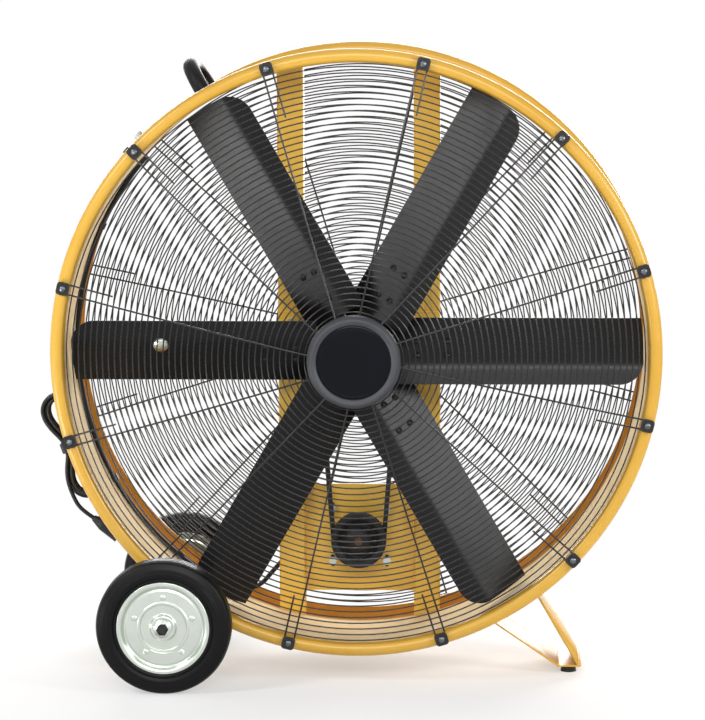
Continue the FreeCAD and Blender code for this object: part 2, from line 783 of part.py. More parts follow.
def build_rotor():
    """Blades, hub, rivets, balance weight, shaft and fan pulley."""
    half = CELL.blade_width / 2
    crease = -half + CELL.blade_lead
    trailing = blade_line(half)
    fold = blade_line(crease)
    leading = fold - CELL.blade_lead * tangent(CELL.lead_pitch)
    sheet = CELL.blade_sheet
    section = padded("blade_section", "YZ_Plane", (
        (trailing, half), (fold, crease), (leading, -half),
        (leading + sheet, -half), (fold + sheet, crease), (trailing + sheet, half)),
        CELL.blade_sweep * 2)
    taper = CELL.blade_root + CELL.root_taper
    blank = padded("blade_blank", "XZ_Plane", (
        (CELL.blade_root, -CELL.root_width / 2),
        (taper, -half),
        (CELL.blade_sweep, -half, CELL.blade_corner),
        (CELL.blade_sweep, half, 4),
        (taper, half),
        (CELL.blade_root, CELL.root_width / 2)), CELL.drum_depth)
    swept = DOC.addObject("Part::Cylinder", "blade_swept")
    swept.setExpression("Radius", CELL.blade_sweep.text)
    swept.setExpression("Height", CELL.drum_depth.text)
    swept.Placement = Placement(Vector(0, 0, 0), Rotation(ACROSS, 90))
    put(swept, y=CELL.drum_depth / 2)
    blade = DOC.addObject("Part::MultiCommon", "blade_pattern")
    blade.Shapes = [section, blank, swept]

    low = CELL.arm_offset - CELL.arm_width / 2
    high = CELL.arm_offset + CELL.arm_width / 2
    hub = DOC.addObject("PartDesign::Body", "hub_casting")
    barrel_sketch = sketch_in(hub, "XY_Plane")
    outline(barrel_sketch, (
        (CELL.shaft_size / 2 + CELL.run_gap, -CELL.hub_front),
        (CELL.hub_radius - 8, -CELL.hub_front, 3),
        (CELL.hub_radius, -CELL.hub_front + 14, 3),
        (CELL.hub_radius, -CELL.hub_front + CELL.hub_length),
        (CELL.shaft_size / 2 + CELL.run_gap, -CELL.hub_front + CELL.hub_length)))
    barrel = hub.newObject("PartDesign::Revolution", "hub_barrel")
    barrel.Profile = barrel_sketch
    barrel.ReferenceAxis = (barrel_sketch, ["V_Axis"])
    barrel.Angle = 360
    arm_sketch = sketch_in(hub, "YZ_Plane")
    arm_sketch.AttachmentOffset = Placement(Vector(0, 0, 0), Rotation())
    arm_sketch.setExpression("AttachmentOffset.Base.z", (CELL.hub_radius * 0.6).text)
    outline(arm_sketch, (
        (blade_line(high) + sheet, high), (blade_line(low) + sheet, low),
        (blade_line(low) + sheet + CELL.arm_sheet, low),
        (blade_line(high) + sheet + CELL.arm_sheet, high)))
    arm = hub.newObject("PartDesign::Pad", "hub_arm")
    arm.Profile = arm_sketch
    arm.setExpression("Length", (CELL.arm_reach - CELL.hub_radius * 0.6).text)
    arms = hub.newObject("PartDesign::PolarPattern", "hub_arms")
    arms.Originals = [arm]
    arms.Axis = (barrel_sketch, ["V_Axis"])
    arms.Angle = 360
    arms.setExpression("Occurrences", CELL.blade_count.text)
    hub.Tip = arms
    DOC.recompute()

    places, front = rivet_places()
    grip = (NUM.blade_sheet + NUM.arm_sheet) * math.cos(math.radians(NUM.blade_pitch))
    shank = NUM.rivet_shank / 2
    holes = [cylinder(shank + NUM.run_gap, p + front * 20, -front, 60) for p in places]
    drill = Part.makeCompound(holes)
    cut_blade = blade.Shape.cut(drill)
    tail = cylinder(NUM.rivet_head / 2 - 1.5, Vector(0, 0, -grip - 2), UP, 2)
    rivet = round_bolt(NUM.rivet_shank, NUM.rivet_head, NUM.rivet_rise, grip).fuse(tail)
    rivets = [moved(rivet.removeSplitter(), facing(front, p)) for p in places]
    spider = moved(hub.Shape, Placement(Vector(0, 0, NUM.axis_height), Rotation()))
    all_rivets = []
    for k in range(int(NUM.blade_count)):
        solid_node(f"blade_{k + 1}", around(cut_blade, k))
        spider = spider.cut(around(drill, k))
        all_rivets += [around(item, k) for item in rivets]
    solid_node("spider_hub", spider)
    solid_node("blade_rivets", Part.makeCompound(all_rivets))

    offset = -NUM.weight_offset
    spot = Vector(NUM.weight_reach, blade_line(Size.of(offset)).value, offset)
    weight = Part.makeCone(NUM.weight_size / 2, NUM.weight_size / 2 - 1.5, NUM.weight_sheet)
    weight = moved(weight, facing(front, spot + front * NUM.weld_gap))
    solid_node("balance_weight", around(weight, int(NUM.blade_count) // 2))

    shaft = lathe("fan_shaft", (
        (0, -CELL.shaft_front),
        (CELL.shaft_size / 2, -CELL.shaft_front, 1.5),
        (CELL.shaft_size / 2, CELL.shaft_rear, 1.5),
        (0, CELL.shaft_rear)))
    put(keep("fan_shaft", shaft), z=CELL.axis_height)


def build_pulley(node, size, bore):
    """A V-groove pulley about its own axis."""
    rim = size / 2
    half = CELL.pulley_width / 2
    web = CELL.pulley_web / 2
    boss = CELL.boss_length / 2
    inner = rim - CELL.pulley_rim
    return keep(node, lathe(node, (
        (bore, -boss),
        (CELL.pulley_boss / 2, -boss),
        (CELL.pulley_boss / 2, -web),
        (inner, -web),
        (inner, -half),
        (rim, -half),
        (rim, -CELL.groove_width / 2),
        (rim - CELL.groove_depth, -CELL.groove_floor / 2),
        (rim - CELL.groove_depth, CELL.groove_floor / 2),
        (rim, CELL.groove_width / 2),
        (rim, half),
        (inner, half),
        (inner, web),
        (CELL.pulley_boss / 2, web),
        (CELL.pulley_boss / 2, boss),
        (bore, boss))))


def build_belt():
    """The V-belt: two arcs and two straight strands of one section."""
    depth = NUM.belt_height
    large = NUM.fan_pulley / 2 - NUM.belt_inset
    small = NUM.motor_pulley / 2 - NUM.belt_inset
    lean = math.asin((large - small) / NUM.belt_centres)
    plane = -NUM.belt_plane
    fan_centre = Vector(0, plane, NUM.axis_height)
    motor_centre = fan_centre - UP * NUM.belt_centres

    def section(centre, reach, out):
        top = centre + out * reach
        foot = centre + out * (reach - depth)
        wide = AXIAL * (NUM.belt_width / 2)
        slim = AXIAL * (NUM.belt_foot / 2)
        return Part.Face(Part.makePolygon([top - wide, top + wide, foot + slim, foot - slim, top - wide]))

    right = Vector(math.cos(lean), 0, -math.sin(lean))
    left = Vector(-math.cos(lean), 0, -math.sin(lean))
    sweep = math.degrees(2 * lean)
    pieces = [
        section(fan_centre, large, left).revolve(fan_centre, AXIAL, 180 + sweep),
        section(motor_centre, small, right).revolve(motor_centre, AXIAL, 180 - sweep),
    ]
    for out in (right, left):
        start = fan_centre + out * large
        stop = motor_centre + out * small
        pieces.append(section(fan_centre, large, out).extrude(stop - start))
    belt = pieces[0].multiFuse(pieces[1:]).removeSplitter()
    solid_node("v_belt", belt)


def build_frame():
    """Struts, bearing bridge, bearings, motor plate and the bolts that hold them."""
    half = CELL.channel_width / 2
    wall = CELL.channel_wall
    front = CELL.channel_front
    rear = front + CELL.channel_depth
    bolt = CELL.bolt_size / 2 + CELL.run_gap
    bore = DOC.addObject("Part::Cylinder", "strut_limit")
    bore.setExpression("Radius", (CELL.drum_bore - CELL.seat_gap).text)
    bore.setExpression("Height", CELL.drum_depth.text)
    bore.Placement = Placement(Vector(0, 0, 0), Rotation(ACROSS, 90))
    put(bore, y=CELL.drum_depth / 2, z=CELL.axis_height)

    plate_front = NUM.channel_front + NUM.plate_recess
    bridge_face = Vector(0, NUM.channel_front - NUM.bridge_sheet, NUM.axis_height)
    flange_mid = plate_front + NUM.plate_sheet + NUM.plate_flange / 2
    side_heights = [NUM.axis_height - NUM.plate_top - 40, NUM.axis_height - NUM.plate_bottom + 40]
    inside = NUM.channel_spacing / 2 - NUM.channel_width / 2
    drill = NUM.bolt_size / 2 + NUM.run_gap
    frame_bolt = hex_bolt(NUM.bolt_size, NUM.bolt_head, NUM.bolt_head_rise,
                          NUM.bridge_sheet + NUM.channel_wall + 3)
    bolts = []
    for node, side in (("left_channel", -1), ("right_channel", 1)):
        middle = CELL.channel_spacing / 2 * side
        strut = padded(node + "_section", "XY_Plane", (
            (middle - half, front, 4), (middle + half, front, 4),
            (middle + half, rear), (middle + half - wall, rear),
            (middle + half - wall, front + wall), (middle - half + wall, front + wall),
            (middle - half + wall, rear), (middle - half, rear)), CELL.drum_bore * 2.2)
        put(strut, z=CELL.axis_height)
        trimmed = DOC.addObject("Part::Common", node + "_trimmed")
        trimmed.Base = strut
        trimmed.Tool = bore
        DOC.recompute()
        shape = trimmed.Shape
        for rise in (-1, 1):
            spot = bridge_face + Vector(middle.value, 0, rise * NUM.bridge_bolt_rise / 2)
            shape = shape.cut(cylinder(drill, spot - AXIAL * 5, AXIAL, 20))
            bolts.append(moved(frame_bolt, facing(-AXIAL, spot)))
        for height in side_heights:
            spot = Vector(side * inside, flange_mid, height)
            shape = shape.cut(cylinder(drill, spot - ACROSS * side * 10, ACROSS * side, 20))
            head = spot - ACROSS * side * NUM.plate_sheet
            bolts.append(moved(frame_bolt, facing(-ACROSS * side, head)))
        solid_node(node, shape)

    bridge_half = CELL.bridge_rise / 2
    circle_holes = []
    for k in range(4):
        turn = math.radians(45 + 90 * k)
        circle_holes.append((CELL.housing_bolt_circle * math.cos(turn),
                             CELL.housing_bolt_circle * math.sin(turn), bolt))
    span = CELL.channel_spacing / 2
    rise = CELL.bridge_bolt_rise / 2
    strut_holes = [(span * a, rise * b, bolt) for a in (-1, 1) for b in (-1, 1)]
    bridge = padded("bearing_bridge", "XZ_Plane",
                    [corner + (8,) for corner in rectangle(CELL.bridge_width / 2, -bridge_half, bridge_half)],
                    CELL.bridge_sheet,
                    [(0, 0, CELL.housing_size / 2 + CELL.run_gap)] + circle_holes + strut_holes)
    keep("bearing_bridge", bridge)
    put(bridge, y=CELL.channel_front - CELL.bridge_sheet / 2, z=CELL.axis_height)

    seat = CELL.bearing_size / 2 + CELL.run_gap
    flange_back = CELL.channel_front - CELL.bridge_sheet
    housing_rear = CELL.housing_front + CELL.housing_length
    shoulder = CELL.bearing_size / 2 - 4
    housing = lathe("housing_body", (
        (seat, CELL.housing_front),
        (CELL.housing_size / 2, CELL.housing_front),
        (CELL.housing_size / 2, flange_back - CELL.flange_sheet),
        (CELL.housing_flange / 2, flange_back - CELL.flange_sheet),
        (CELL.housing_flange / 2, flange_back),
        (CELL.housing_size / 2, flange_back),
        (CELL.housing_size / 2, housing_rear),
        (seat, housing_rear),
        (seat, housing_rear - CELL.bearing_width),
        (shoulder, housing_rear - CELL.bearing_width),
        (shoulder, CELL.housing_front + CELL.bearing_width),
        (seat, CELL.housing_front + CELL.bearing_width)))
    put(housing, z=CELL.axis_height)
    DOC.recompute()
    housing_shape = housing.Shape
    flange_face = flange_back.value - NUM.flange_sheet
    long_bolt = hex_bolt(NUM.bolt_size, NUM.bolt_head, NUM.bolt_head_rise,
                         NUM.flange_sheet + NUM.bridge_sheet + 4)
    for x, z, radius in circle_holes:
        spot = Vector(x.value, flange_face, NUM.axis_height + z.value)
        housing_shape = housing_shape.cut(cylinder(drill, spot - AXIAL * 5, AXIAL, 20))
        bolts.append(moved(long_bolt, facing(-AXIAL, spot)))
    solid_node("bearing_housing", housing_shape)

    rings = []
    inner = NUM.shaft_size / 2 + NUM.run_gap
    for start in (NUM.housing_front, housing_rear.value - NUM.bearing_width):
        centre = Vector(0, start, NUM.axis_height)
        ring = cylinder(NUM.bearing_size / 2, centre, AXIAL, NUM.bearing_width)
        rings.append(ring.cut(cylinder(inner, centre, AXIAL, NUM.bearing_width)))
    solid_node("bearings", Part.makeCompound(rings))

    build_motor_plate(bolts, plate_front, side_heights, flange_mid, inside, drill)


def build_motor_plate(bolts, plate_front, side_heights, flange_mid, inside, drill):
    """The plate between the struts, with the motor behind it."""
    sheet = NUM.plate_sheet
    high = NUM.axis_height - NUM.plate_top
    low = NUM.axis_height - NUM.plate_bottom
    motor_height = NUM.axis_height - NUM.belt_centres
    reach = plate_front + sheet + NUM.plate_flange
    plate = Part.makeBox(2 * inside, reach - plate_front, high - low, Vector(-inside, plate_front, low))
    hollow = Part.makeBox(2 * (inside - sheet), reach, high - low,
                          Vector(-inside + sheet, plate_front + sheet, low))
    plate = plate.cut(hollow)
    plate = plate.cut(cylinder(NUM.plate_opening / 2, Vector(0, plate_front - 5, motor_height), AXIAL, 20))
    for side in (-1, 1):
        for height in side_heights:
            spot = Vector(side * (inside - 10), flange_mid, height)
            plate = plate.cut(cylinder(drill, spot, ACROSS * side, 20))
    flange_back = plate_front + sheet + NUM.motor_flange_sheet
    motor_bolt = hex_bolt(NUM.bolt_size, NUM.bolt_head, NUM.bolt_head_rise, sheet + NUM.motor_flange_sheet)
    flange_holes = []
    for a in (-1, 1):
        for b in (-1, 1):
            x = a * NUM.motor_bolt_span / 2
            z = motor_height + b * NUM.motor_bolt_rise / 2
            spot = Vector(x, plate_front, z)
            # An upright slot lets the motor slide to tighten the belt.
            slot = Part.makeBox(2 * drill, 20, 16, Vector(x - drill, plate_front - 5, z - 8))
            for end in (-8, 8):
                slot = slot.fuse(cylinder(drill, Vector(x, plate_front - 5, z + end), AXIAL, 20))
            plate = plate.cut(slot)
            flange_holes.append((CELL.motor_bolt_span / 2 * a, CELL.motor_bolt_rise / 2 * b,
                                 CELL.bolt_size / 2 + CELL.run_gap))
            bolts.append(moved(motor_bolt, facing(-AXIAL, spot)))
    solid_node("motor_plate", plate.removeSplitter())
    solid_node("frame_bolts", Part.makeCompound(bolts))

    bore = CELL.motor_shaft_size / 2 + CELL.run_gap
    half = CELL.motor_flange_rise / 2
    corner = CELL.motor_flange_corner
    flange = padded("motor_flange", "XZ_Plane",
                    [c + (corner,) for c in rectangle(CELL.motor_flange_width / 2, -half, half)],
                    CELL.motor_flange_sheet, [(0, 0, bore)] + flange_holes)
    keep("motor_flange", flange)
    face = CELL.channel_front + CELL.plate_recess + CELL.plate_sheet
    put(flange, y=face + CELL.motor_flange_sheet / 2, z=CELL.axis_height - CELL.belt_centres)

    back = face + CELL.motor_flange_sheet
    radius = CELL.motor_size / 2
    shell = lathe("motor_shell", (
        (bore, back),
        (radius - 6, back),
        (radius - 6, back + 10),
        (radius, back + 10, 1),
        (radius, back + CELL.motor_length, 1),
        (radius - 4, back + CELL.motor_length),
        (radius - 8, back + CELL.motor_length + CELL.motor_bell, 10),
        (0, back + CELL.motor_length + CELL.motor_bell),
        (0, back + CELL.motor_shaft_depth),
        (bore, back + CELL.motor_shaft_depth)))
    put(keep("motor_shell", shell), z=CELL.axis_height - CELL.belt_centres)

    shaft_front = -CELL.belt_plane - CELL.boss_length / 2 - 3
    shaft = lathe("motor_shaft", (
        (0, shaft_front),
        (CELL.motor_shaft_size / 2, shaft_front, 1),
        (CELL.motor_shaft_size / 2, back + CELL.motor_shaft_depth - 1),
        (0, back + CELL.motor_shaft_depth - 1)))
    put(keep("motor_shaft", shaft), z=CELL.axis_height - CELL.belt_centres)


def build_drive():
    """The two pulleys and the belt between them."""
    fan = build_pulley("fan_pulley", CELL.fan_pulley, CELL.shaft_size / 2 + CELL.run_gap)
    put(fan, y=-CELL.belt_plane, z=CELL.axis_height)
    motor = build_pulley("motor_pulley", CELL.motor_pulley, CELL.motor_shaft_size / 2 + CELL.run_gap)
    put(motor, y=-CELL.belt_plane, z=CELL.axis_height - CELL.belt_centres)
    build_belt()


def wheel_corners():
    """Profiles of the tyre, a wheel disc and the hub tube, outwards along +Y."""
    half = CELL.wheel_width / 2
    rim = CELL.wheel_rim / 2
    radius = CELL.wheel_size / 2
    shoulder = CELL.tyre_shoulder
    wall = half - 4
    tread = half * 0.4
    tyre = (
        (rim, -wall), (rim + 6, -wall, 3), (rim + 12, -half), (rim + 20, -half, 6),
        (radius - 3, -half + 7, shoulder), (radius, -tread, 30),
        (radius, tread, 30), (radius - 3, half - 7, shoulder),
        (rim + 20, half, 6), (rim + 12, half), (rim + 6, wall, 3), (rim, wall))
    sheet = CELL.wheel_disc_sheet
    edge = rim - CELL.seat_gap
    web = wall - CELL.wheel_web_inset
    bore = CELL.wheel_hub_tube / 2 + CELL.run_gap
    boss = CELL.wheel_boss / 2
    tip = CELL.wheel_hub_length / 2 - 4
    disc = (
        (bore, tip - sheet), (boss - sheet, tip - sheet, 2), (boss + 2 - sheet, web - sheet, 3),
        (edge - CELL.wheel_lip - sheet, web - sheet, 4), (edge - sheet - 2, wall - sheet, 2),
        (edge - sheet, sheet), (edge, sheet), (edge, wall, 3),
        (edge - CELL.wheel_lip + 1, wall, 3), (edge - CELL.wheel_lip - 4, web, 4),
        (boss + 3, web, 3), (boss, tip, 3), (bore, tip))
    tube = ring_corners(CELL.axle_size / 2 + CELL.run_gap, CELL.wheel_hub_tube / 2,
                        -CELL.wheel_hub_length / 2, CELL.wheel_hub_length / 2)
    return tyre, disc, tube


def build_wheels():
    """Two solid-tyred wheels on one fixed axle."""
    height = CELL.wheel_size / 2
    tyre_corners, disc_corners, tube_corners = wheel_corners()
    disc = lathe("wheel_disc_pattern", disc_corners)
    tube = lathe("wheel_tube_pattern", tube_corners)
    DOC.recompute()
    steel = [disc.Shape, mirrored(disc.Shape), tube.Shape]
    for end, side in (("front", -1), ("rear", 1)):
        tyre = keep(f"{end}_tyre", lathe(f"{end}_tyre", tyre_corners))
        put(tyre, x=-CELL.wheel_side, y=CELL.wheel_plane * side, z=height)
        centre = Vector(-NUM.wheel_side, side * NUM.wheel_plane, height.value)
        place = Placement(centre, Rotation())
        solid_node(f"{end}_wheel_hub", Part.makeCompound([moved(item, place) for item in steel]))

    hub_end = CELL.wheel_plane + CELL.wheel_hub_length / 2
    axle = lathe("axle", ((0, -hub_end - 1), (CELL.axle_size / 2, -hub_end - 1),
                          (CELL.axle_size / 2, hub_end + 1), (0, hub_end + 1)))
    put(keep("axle", axle), x=-CELL.wheel_side, z=height)
    middle = Vector(-NUM.wheel_side, 0, height.value)
    face = hub_end.value + 1
    head = cylinder(NUM.axle_washer / 2, Vector(0, 0, 0), UP, NUM.axle_washer_sheet)
    nut = hexagon(NUM.axle_head, NUM.axle_head_rise)
    nut.translate(UP * NUM.axle_washer_sheet)
    head = head.fuse(nut).removeSplitter()
    front = moved(head, facing(-AXIAL, middle - AXIAL * face))
    solid_node("axle_bolts", Part.makeCompound([front, mirrored(front)]))

    gusset_out = NUM.bracket_span / 2
    inner_end = NUM.wheel_plane - NUM.wheel_hub_length / 2 - NUM.seat_gap
    start = middle - AXIAL * inner_end
    spacer = cylinder(NUM.spacer_size / 2, start, AXIAL, inner_end - gusset_out)
    spacer = spacer.cut(cylinder(NUM.axle_size / 2 + NUM.run_gap, start, AXIAL, inner_end))
    solid_node("axle_spacers", Part.makeCompound([spacer, mirrored(spacer)]))
    build_axle_bracket()


def axle_angle():
    """Place of the axle round the drum, in degrees."""
    return 180 + math.degrees(math.asin((NUM.axis_height - NUM.wheel_size / 2) / NUM.axle_reach))


def build_axle_bracket():
    """A folded saddle under the drum with two cheeks that carry the axle."""
    seat = NUM.drum_bore + NUM.drum_wall + NUM.seat_gap
    sheet = NUM.bracket_sheet
    reach = NUM.axle_reach
    half = NUM.bracket_angle / 2
    saddle = hoop_sector(seat, seat + sheet, NUM.bracket_span, half)
    wide = seat * math.sin(math.radians(half))
    boss = NUM.bracket_boss / 2
    cheek = Part.Face(Part.makePolygon([
        Vector(-wide, 0, seat - 40), Vector(wide, 0, seat - 40), Vector(wide, 0, seat + 2),
        Vector(boss, 0, reach), Vector(-boss, 0, reach), Vector(-wide, 0, seat + 2),
        Vector(-wide, 0, seat - 40)])).extrude(AXIAL * sheet)
    cheek = cheek.fuse(cylinder(boss, Vector(0, 0, reach), AXIAL, sheet))
    cheek = cheek.cut(cylinder(seat, Vector(0, -50, 0), AXIAL, 100))
    cheek = cheek.cut(cylinder(NUM.axle_size / 2 + NUM.run_gap, Vector(0, -50, reach), AXIAL, 100))
    cheek.translate(-AXIAL * (NUM.bracket_span / 2))
    bracket = saddle.multiFuse([cheek, mirrored(cheek)]).removeSplitter()
    solid_node("axle_bracket", moved(bracket, drum_place(axle_angle())))


def build_stand():
    """The bent sheet stand with its two rubber feet."""
    seat = NUM.drum_bore + NUM.drum_wall + NUM.seat_gap
    sheet = NUM.stand_sheet
    axis = Vector(0, 0, NUM.axis_height)

    def on_drum(angle, reach):
        turn = math.radians(-angle)
        return axis + Vector(reach * math.cos(turn), 0, reach * math.sin(turn))

    left_top = on_drum(NUM.stand_left_angle, seat - 6)
    right_top = on_drum(NUM.stand_right_angle, seat - 6)
    heel = Vector(NUM.stand_heel, 0, NUM.foot_rise)
    toe = Vector(NUM.stand_toe, 0, NUM.foot_rise)
    depth = NUM.stand_depth

    def strap(start, stop):
        way = (stop - start).normalize()
        normal = way.cross(AXIAL)
        points = [start, stop, stop + normal * sheet, start + normal * sheet, start]
        return Part.Face(Part.makePolygon(points)).extrude(AXIAL * depth)

    left = strap(left_top, heel)
    right = strap(toe, right_top)
    sole = strap(heel, toe)
    pieces = [right, sole]
    for angle in (NUM.stand_left_angle + NUM.stand_flange_angle / 2,
                  NUM.stand_right_angle - NUM.stand_flange_angle / 2):
        flange = hoop_sector(seat, seat + sheet, depth, NUM.stand_flange_angle / 2)
        flange.translate(AXIAL * depth / 2)
        pieces.append(moved(flange, drum_place(-angle)))
    for corner in (heel, toe):
        pieces.append(cylinder(sheet, corner + UP * sheet, AXIAL, depth))
    stand = left.multiFuse(pieces)
    below = Part.makeBox(400, depth, 100, Vector(200, 0, NUM.foot_rise - 100))
    stand = stand.cut(below)
    stand = stand.cut(cylinder(seat, axis - AXIAL, AXIAL, depth + 2))

    way = (left_top - heel).normalize()
    normal = way.cross(AXIAL)
    for side in (-1, 1):
        plane = depth / 2 + side * NUM.stand_slot_spread / 2 - NUM.stand_slot_width / 2
        start = left_top - way * (NUM.stand_slot_length + 20) - normal * 10
        slot = Part.Face(Part.makePolygon([
            start, start + way * NUM.stand_slot_length,
            start + way * NUM.stand_slot_length + normal * 20, start + normal * 20, start]))
        slot = slot.extrude(AXIAL * NUM.stand_slot_width)
        slot.translate(AXIAL * plane)
        stand = stand.cut(slot)
    stand.translate(-AXIAL * depth / 2)
    solid_node("stand", stand.removeSplitter())

    mid = (NUM.stand_heel + NUM.stand_toe) / 2
    feet = []
    for side in (-1, 1):
        base = Vector(mid, side * NUM.foot_spread / 2, 0)
        feet.append(Part.makeCone(NUM.foot_size / 2, NUM.foot_top / 2, NUM.foot_rise, base))
    solid_node("rubber_feet", Part.makeCompound(feet))

    bolts = []
    bolt = hexagon(NUM.bolt_head, NUM.bolt_head_rise)
    lift = seat + sheet + NUM.seat_gap
    for angle in (NUM.stand_left_angle + NUM.stand_flange_angle * 0.62,
                  NUM.stand_right_angle - NUM.stand_flange_angle * 0.62):
        for side in (-1, 1):
            bolts.append(moved(bolt, drum_place(-angle, lift, side * depth / 4)))
    return bolts


def build_handle():
    """The arched carrying handle on top of the drum."""
    seat = NUM.drum_bore + NUM.drum_wall + NUM.seat_gap
    top = NUM.drum_bore + NUM.drum_wall + NUM.handle_rise - NUM.handle_tube / 2
    half = NUM.handle_span / 2
    bend = NUM.handle_bend_radius
    diagonal = bend * (1 - math.sqrt(0.5))

    def at(y, z):
        return Vector(0, y, z)

    edges = [
        Part.LineSegment(at(-half, seat - 2), at(-half, top - bend)).toShape(),
        Part.Arc(at(-half, top - bend), at(-half + diagonal, top - diagonal),
                 at(-half + bend, top)).toShape(),
        Part.LineSegment(at(-half + bend, top), at(half - bend, top)).toShape(),
        Part.Arc(at(half - bend, top), at(half - diagonal, top - diagonal),
                 at(half, top - bend)).toShape(),
        Part.LineSegment(at(half, top - bend), at(half, seat - 2)).toShape()]
    bail = tube_on(edges, NUM.handle_tube, "handle")
    foot_angle = math.degrees(NUM.handle_foot_width / 2 / seat)
    foot = hoop_sector(seat, seat + NUM.handle_foot_sheet, NUM.handle_foot_depth, foot_angle)
    feet = []
    for side in (-1, 1):
        pad = foot.copy()
        pad.translate(AXIAL * side * half)
        feet.append(pad)
    bail = bail.multiFuse(feet).cut(cylinder(seat, Vector(0, -200, 0), AXIAL, 400)).removeSplitter()
    solid_node("handle", bail, drum_place(NUM.handle_angle))

    bolts = []
    head = hexagon(NUM.bolt_head * 0.7, NUM.bolt_head_rise)
    lift = seat + NUM.handle_foot_sheet + NUM.seat_gap
    for side in (-1, 1):
        for way in (-1, 1):
            turn = math.degrees(way * NUM.handle_bolt_spread / 2 / seat)
            bolts.append(moved(head, drum_place(NUM.handle_angle + turn, lift, side * half)))
    return bolts


def build_switch():
    """The speed switch on the outside of the drum, with its turning knob."""
    seat = NUM.drum_bore + NUM.drum_wall + NUM.seat_gap
    width, depth = NUM.switch_width, NUM.switch_depth
    box = Part.makeBox(width, depth, NUM.switch_rise + 10, Vector(-width / 2, -depth / 2, seat - 10))
    upright = [e for e in box.Edges if abs(e.tangentAt(e.FirstParameter).z) > 0.9]
    box = box.makeFillet(NUM.switch_corner, upright)
    box = box.cut(cylinder(seat, Vector(0, -200, 0), AXIAL, 400))
    top = seat + NUM.switch_rise
    gland = cylinder(NUM.knob_size / 2 - 2, Vector(-NUM.knob_offset, 0, top - 1), UP, NUM.knob_rise - 1)
    box = box.fuse(gland).removeSplitter()
    place = drum_place(NUM.switch_angle)
    solid_node("switch_box", box, place)
    knob = cylinder(NUM.knob_size / 2, Vector(NUM.knob_offset, 0, top + NUM.seat_gap), UP, NUM.knob_rise)
    grip = Part.makeBox(3.0, NUM.knob_size * 0.8, 3.0,
                        Vector(NUM.knob_offset - 1.5, 0, top + NUM.seat_gap + NUM.knob_rise - 1.5))
    solid_node("switch_knob", knob.cut(grip), place)


def build_cable():
    """The motor cable clipped round the inside of the drum."""
    hug = NUM.drum_bore - NUM.seat_gap - NUM.cable_size / 2
    plane = NUM.cable_plane
    axis = Vector(0, 0, NUM.axis_height)

    def on_wall(angle):
        turn = math.radians(angle)
        return axis + Vector(hug * math.cos(turn), plane, hug * math.sin(turn))

    # It leaves the wall beside the left strut, passes behind it and enters the motor's side.
    motor = -NUM.belt_centres
    first, last = NUM.switch_angle, NUM.cable_leave
    round_wall = Part.Arc(on_wall(first), on_wall((first + last) / 2), on_wall(last)).toShape()
    turn = math.radians(last)
    points = [
        on_wall(last),
        on_wall(last) + Vector(-math.sin(turn), 0, math.cos(turn)) * 20,
        axis + Vector(-233, 22, -478),
        axis + Vector(-194, 52, -478),
        axis + Vector(-168, 88, motor - 78),
        axis + Vector(-138, 110, motor - 47),
        axis + Vector(-104, 116, motor - 25),
        axis + Vector(-71, 116, motor - 14)]
    edges, radii = rounded_route(points)
    print("motor_cable radii", [round(r) for r in radii])
    solid_node("motor_cable", tube_on([round_wall] + edges, NUM.cable_size, "motor_cable"))

    clips = []
    width = NUM.cable_clip_width
    sheet = NUM.cable_clip_sheet
    bore = NUM.cable_size / 2 + NUM.seat_gap
    foot = hug - bore - sheet
    top = NUM.drum_bore - NUM.seat_gap
    for angle in (155, 182, 209, 230):
        box = Part.makeBox(width, 2 * (bore + sheet), top - foot,
                           Vector(-width / 2, plane - bore - sheet, foot))
        box = box.cut(Part.makeBox(2 * width, 2 * bore, top, Vector(-width, plane - bore, hug)))
        box = box.cut(cylinder(bore, Vector(-width, plane, hug), ACROSS, 2 * width))
        clips.append(moved(box, drum_place(angle)))
    solid_node("cable_clips", Part.makeCompound(clips))


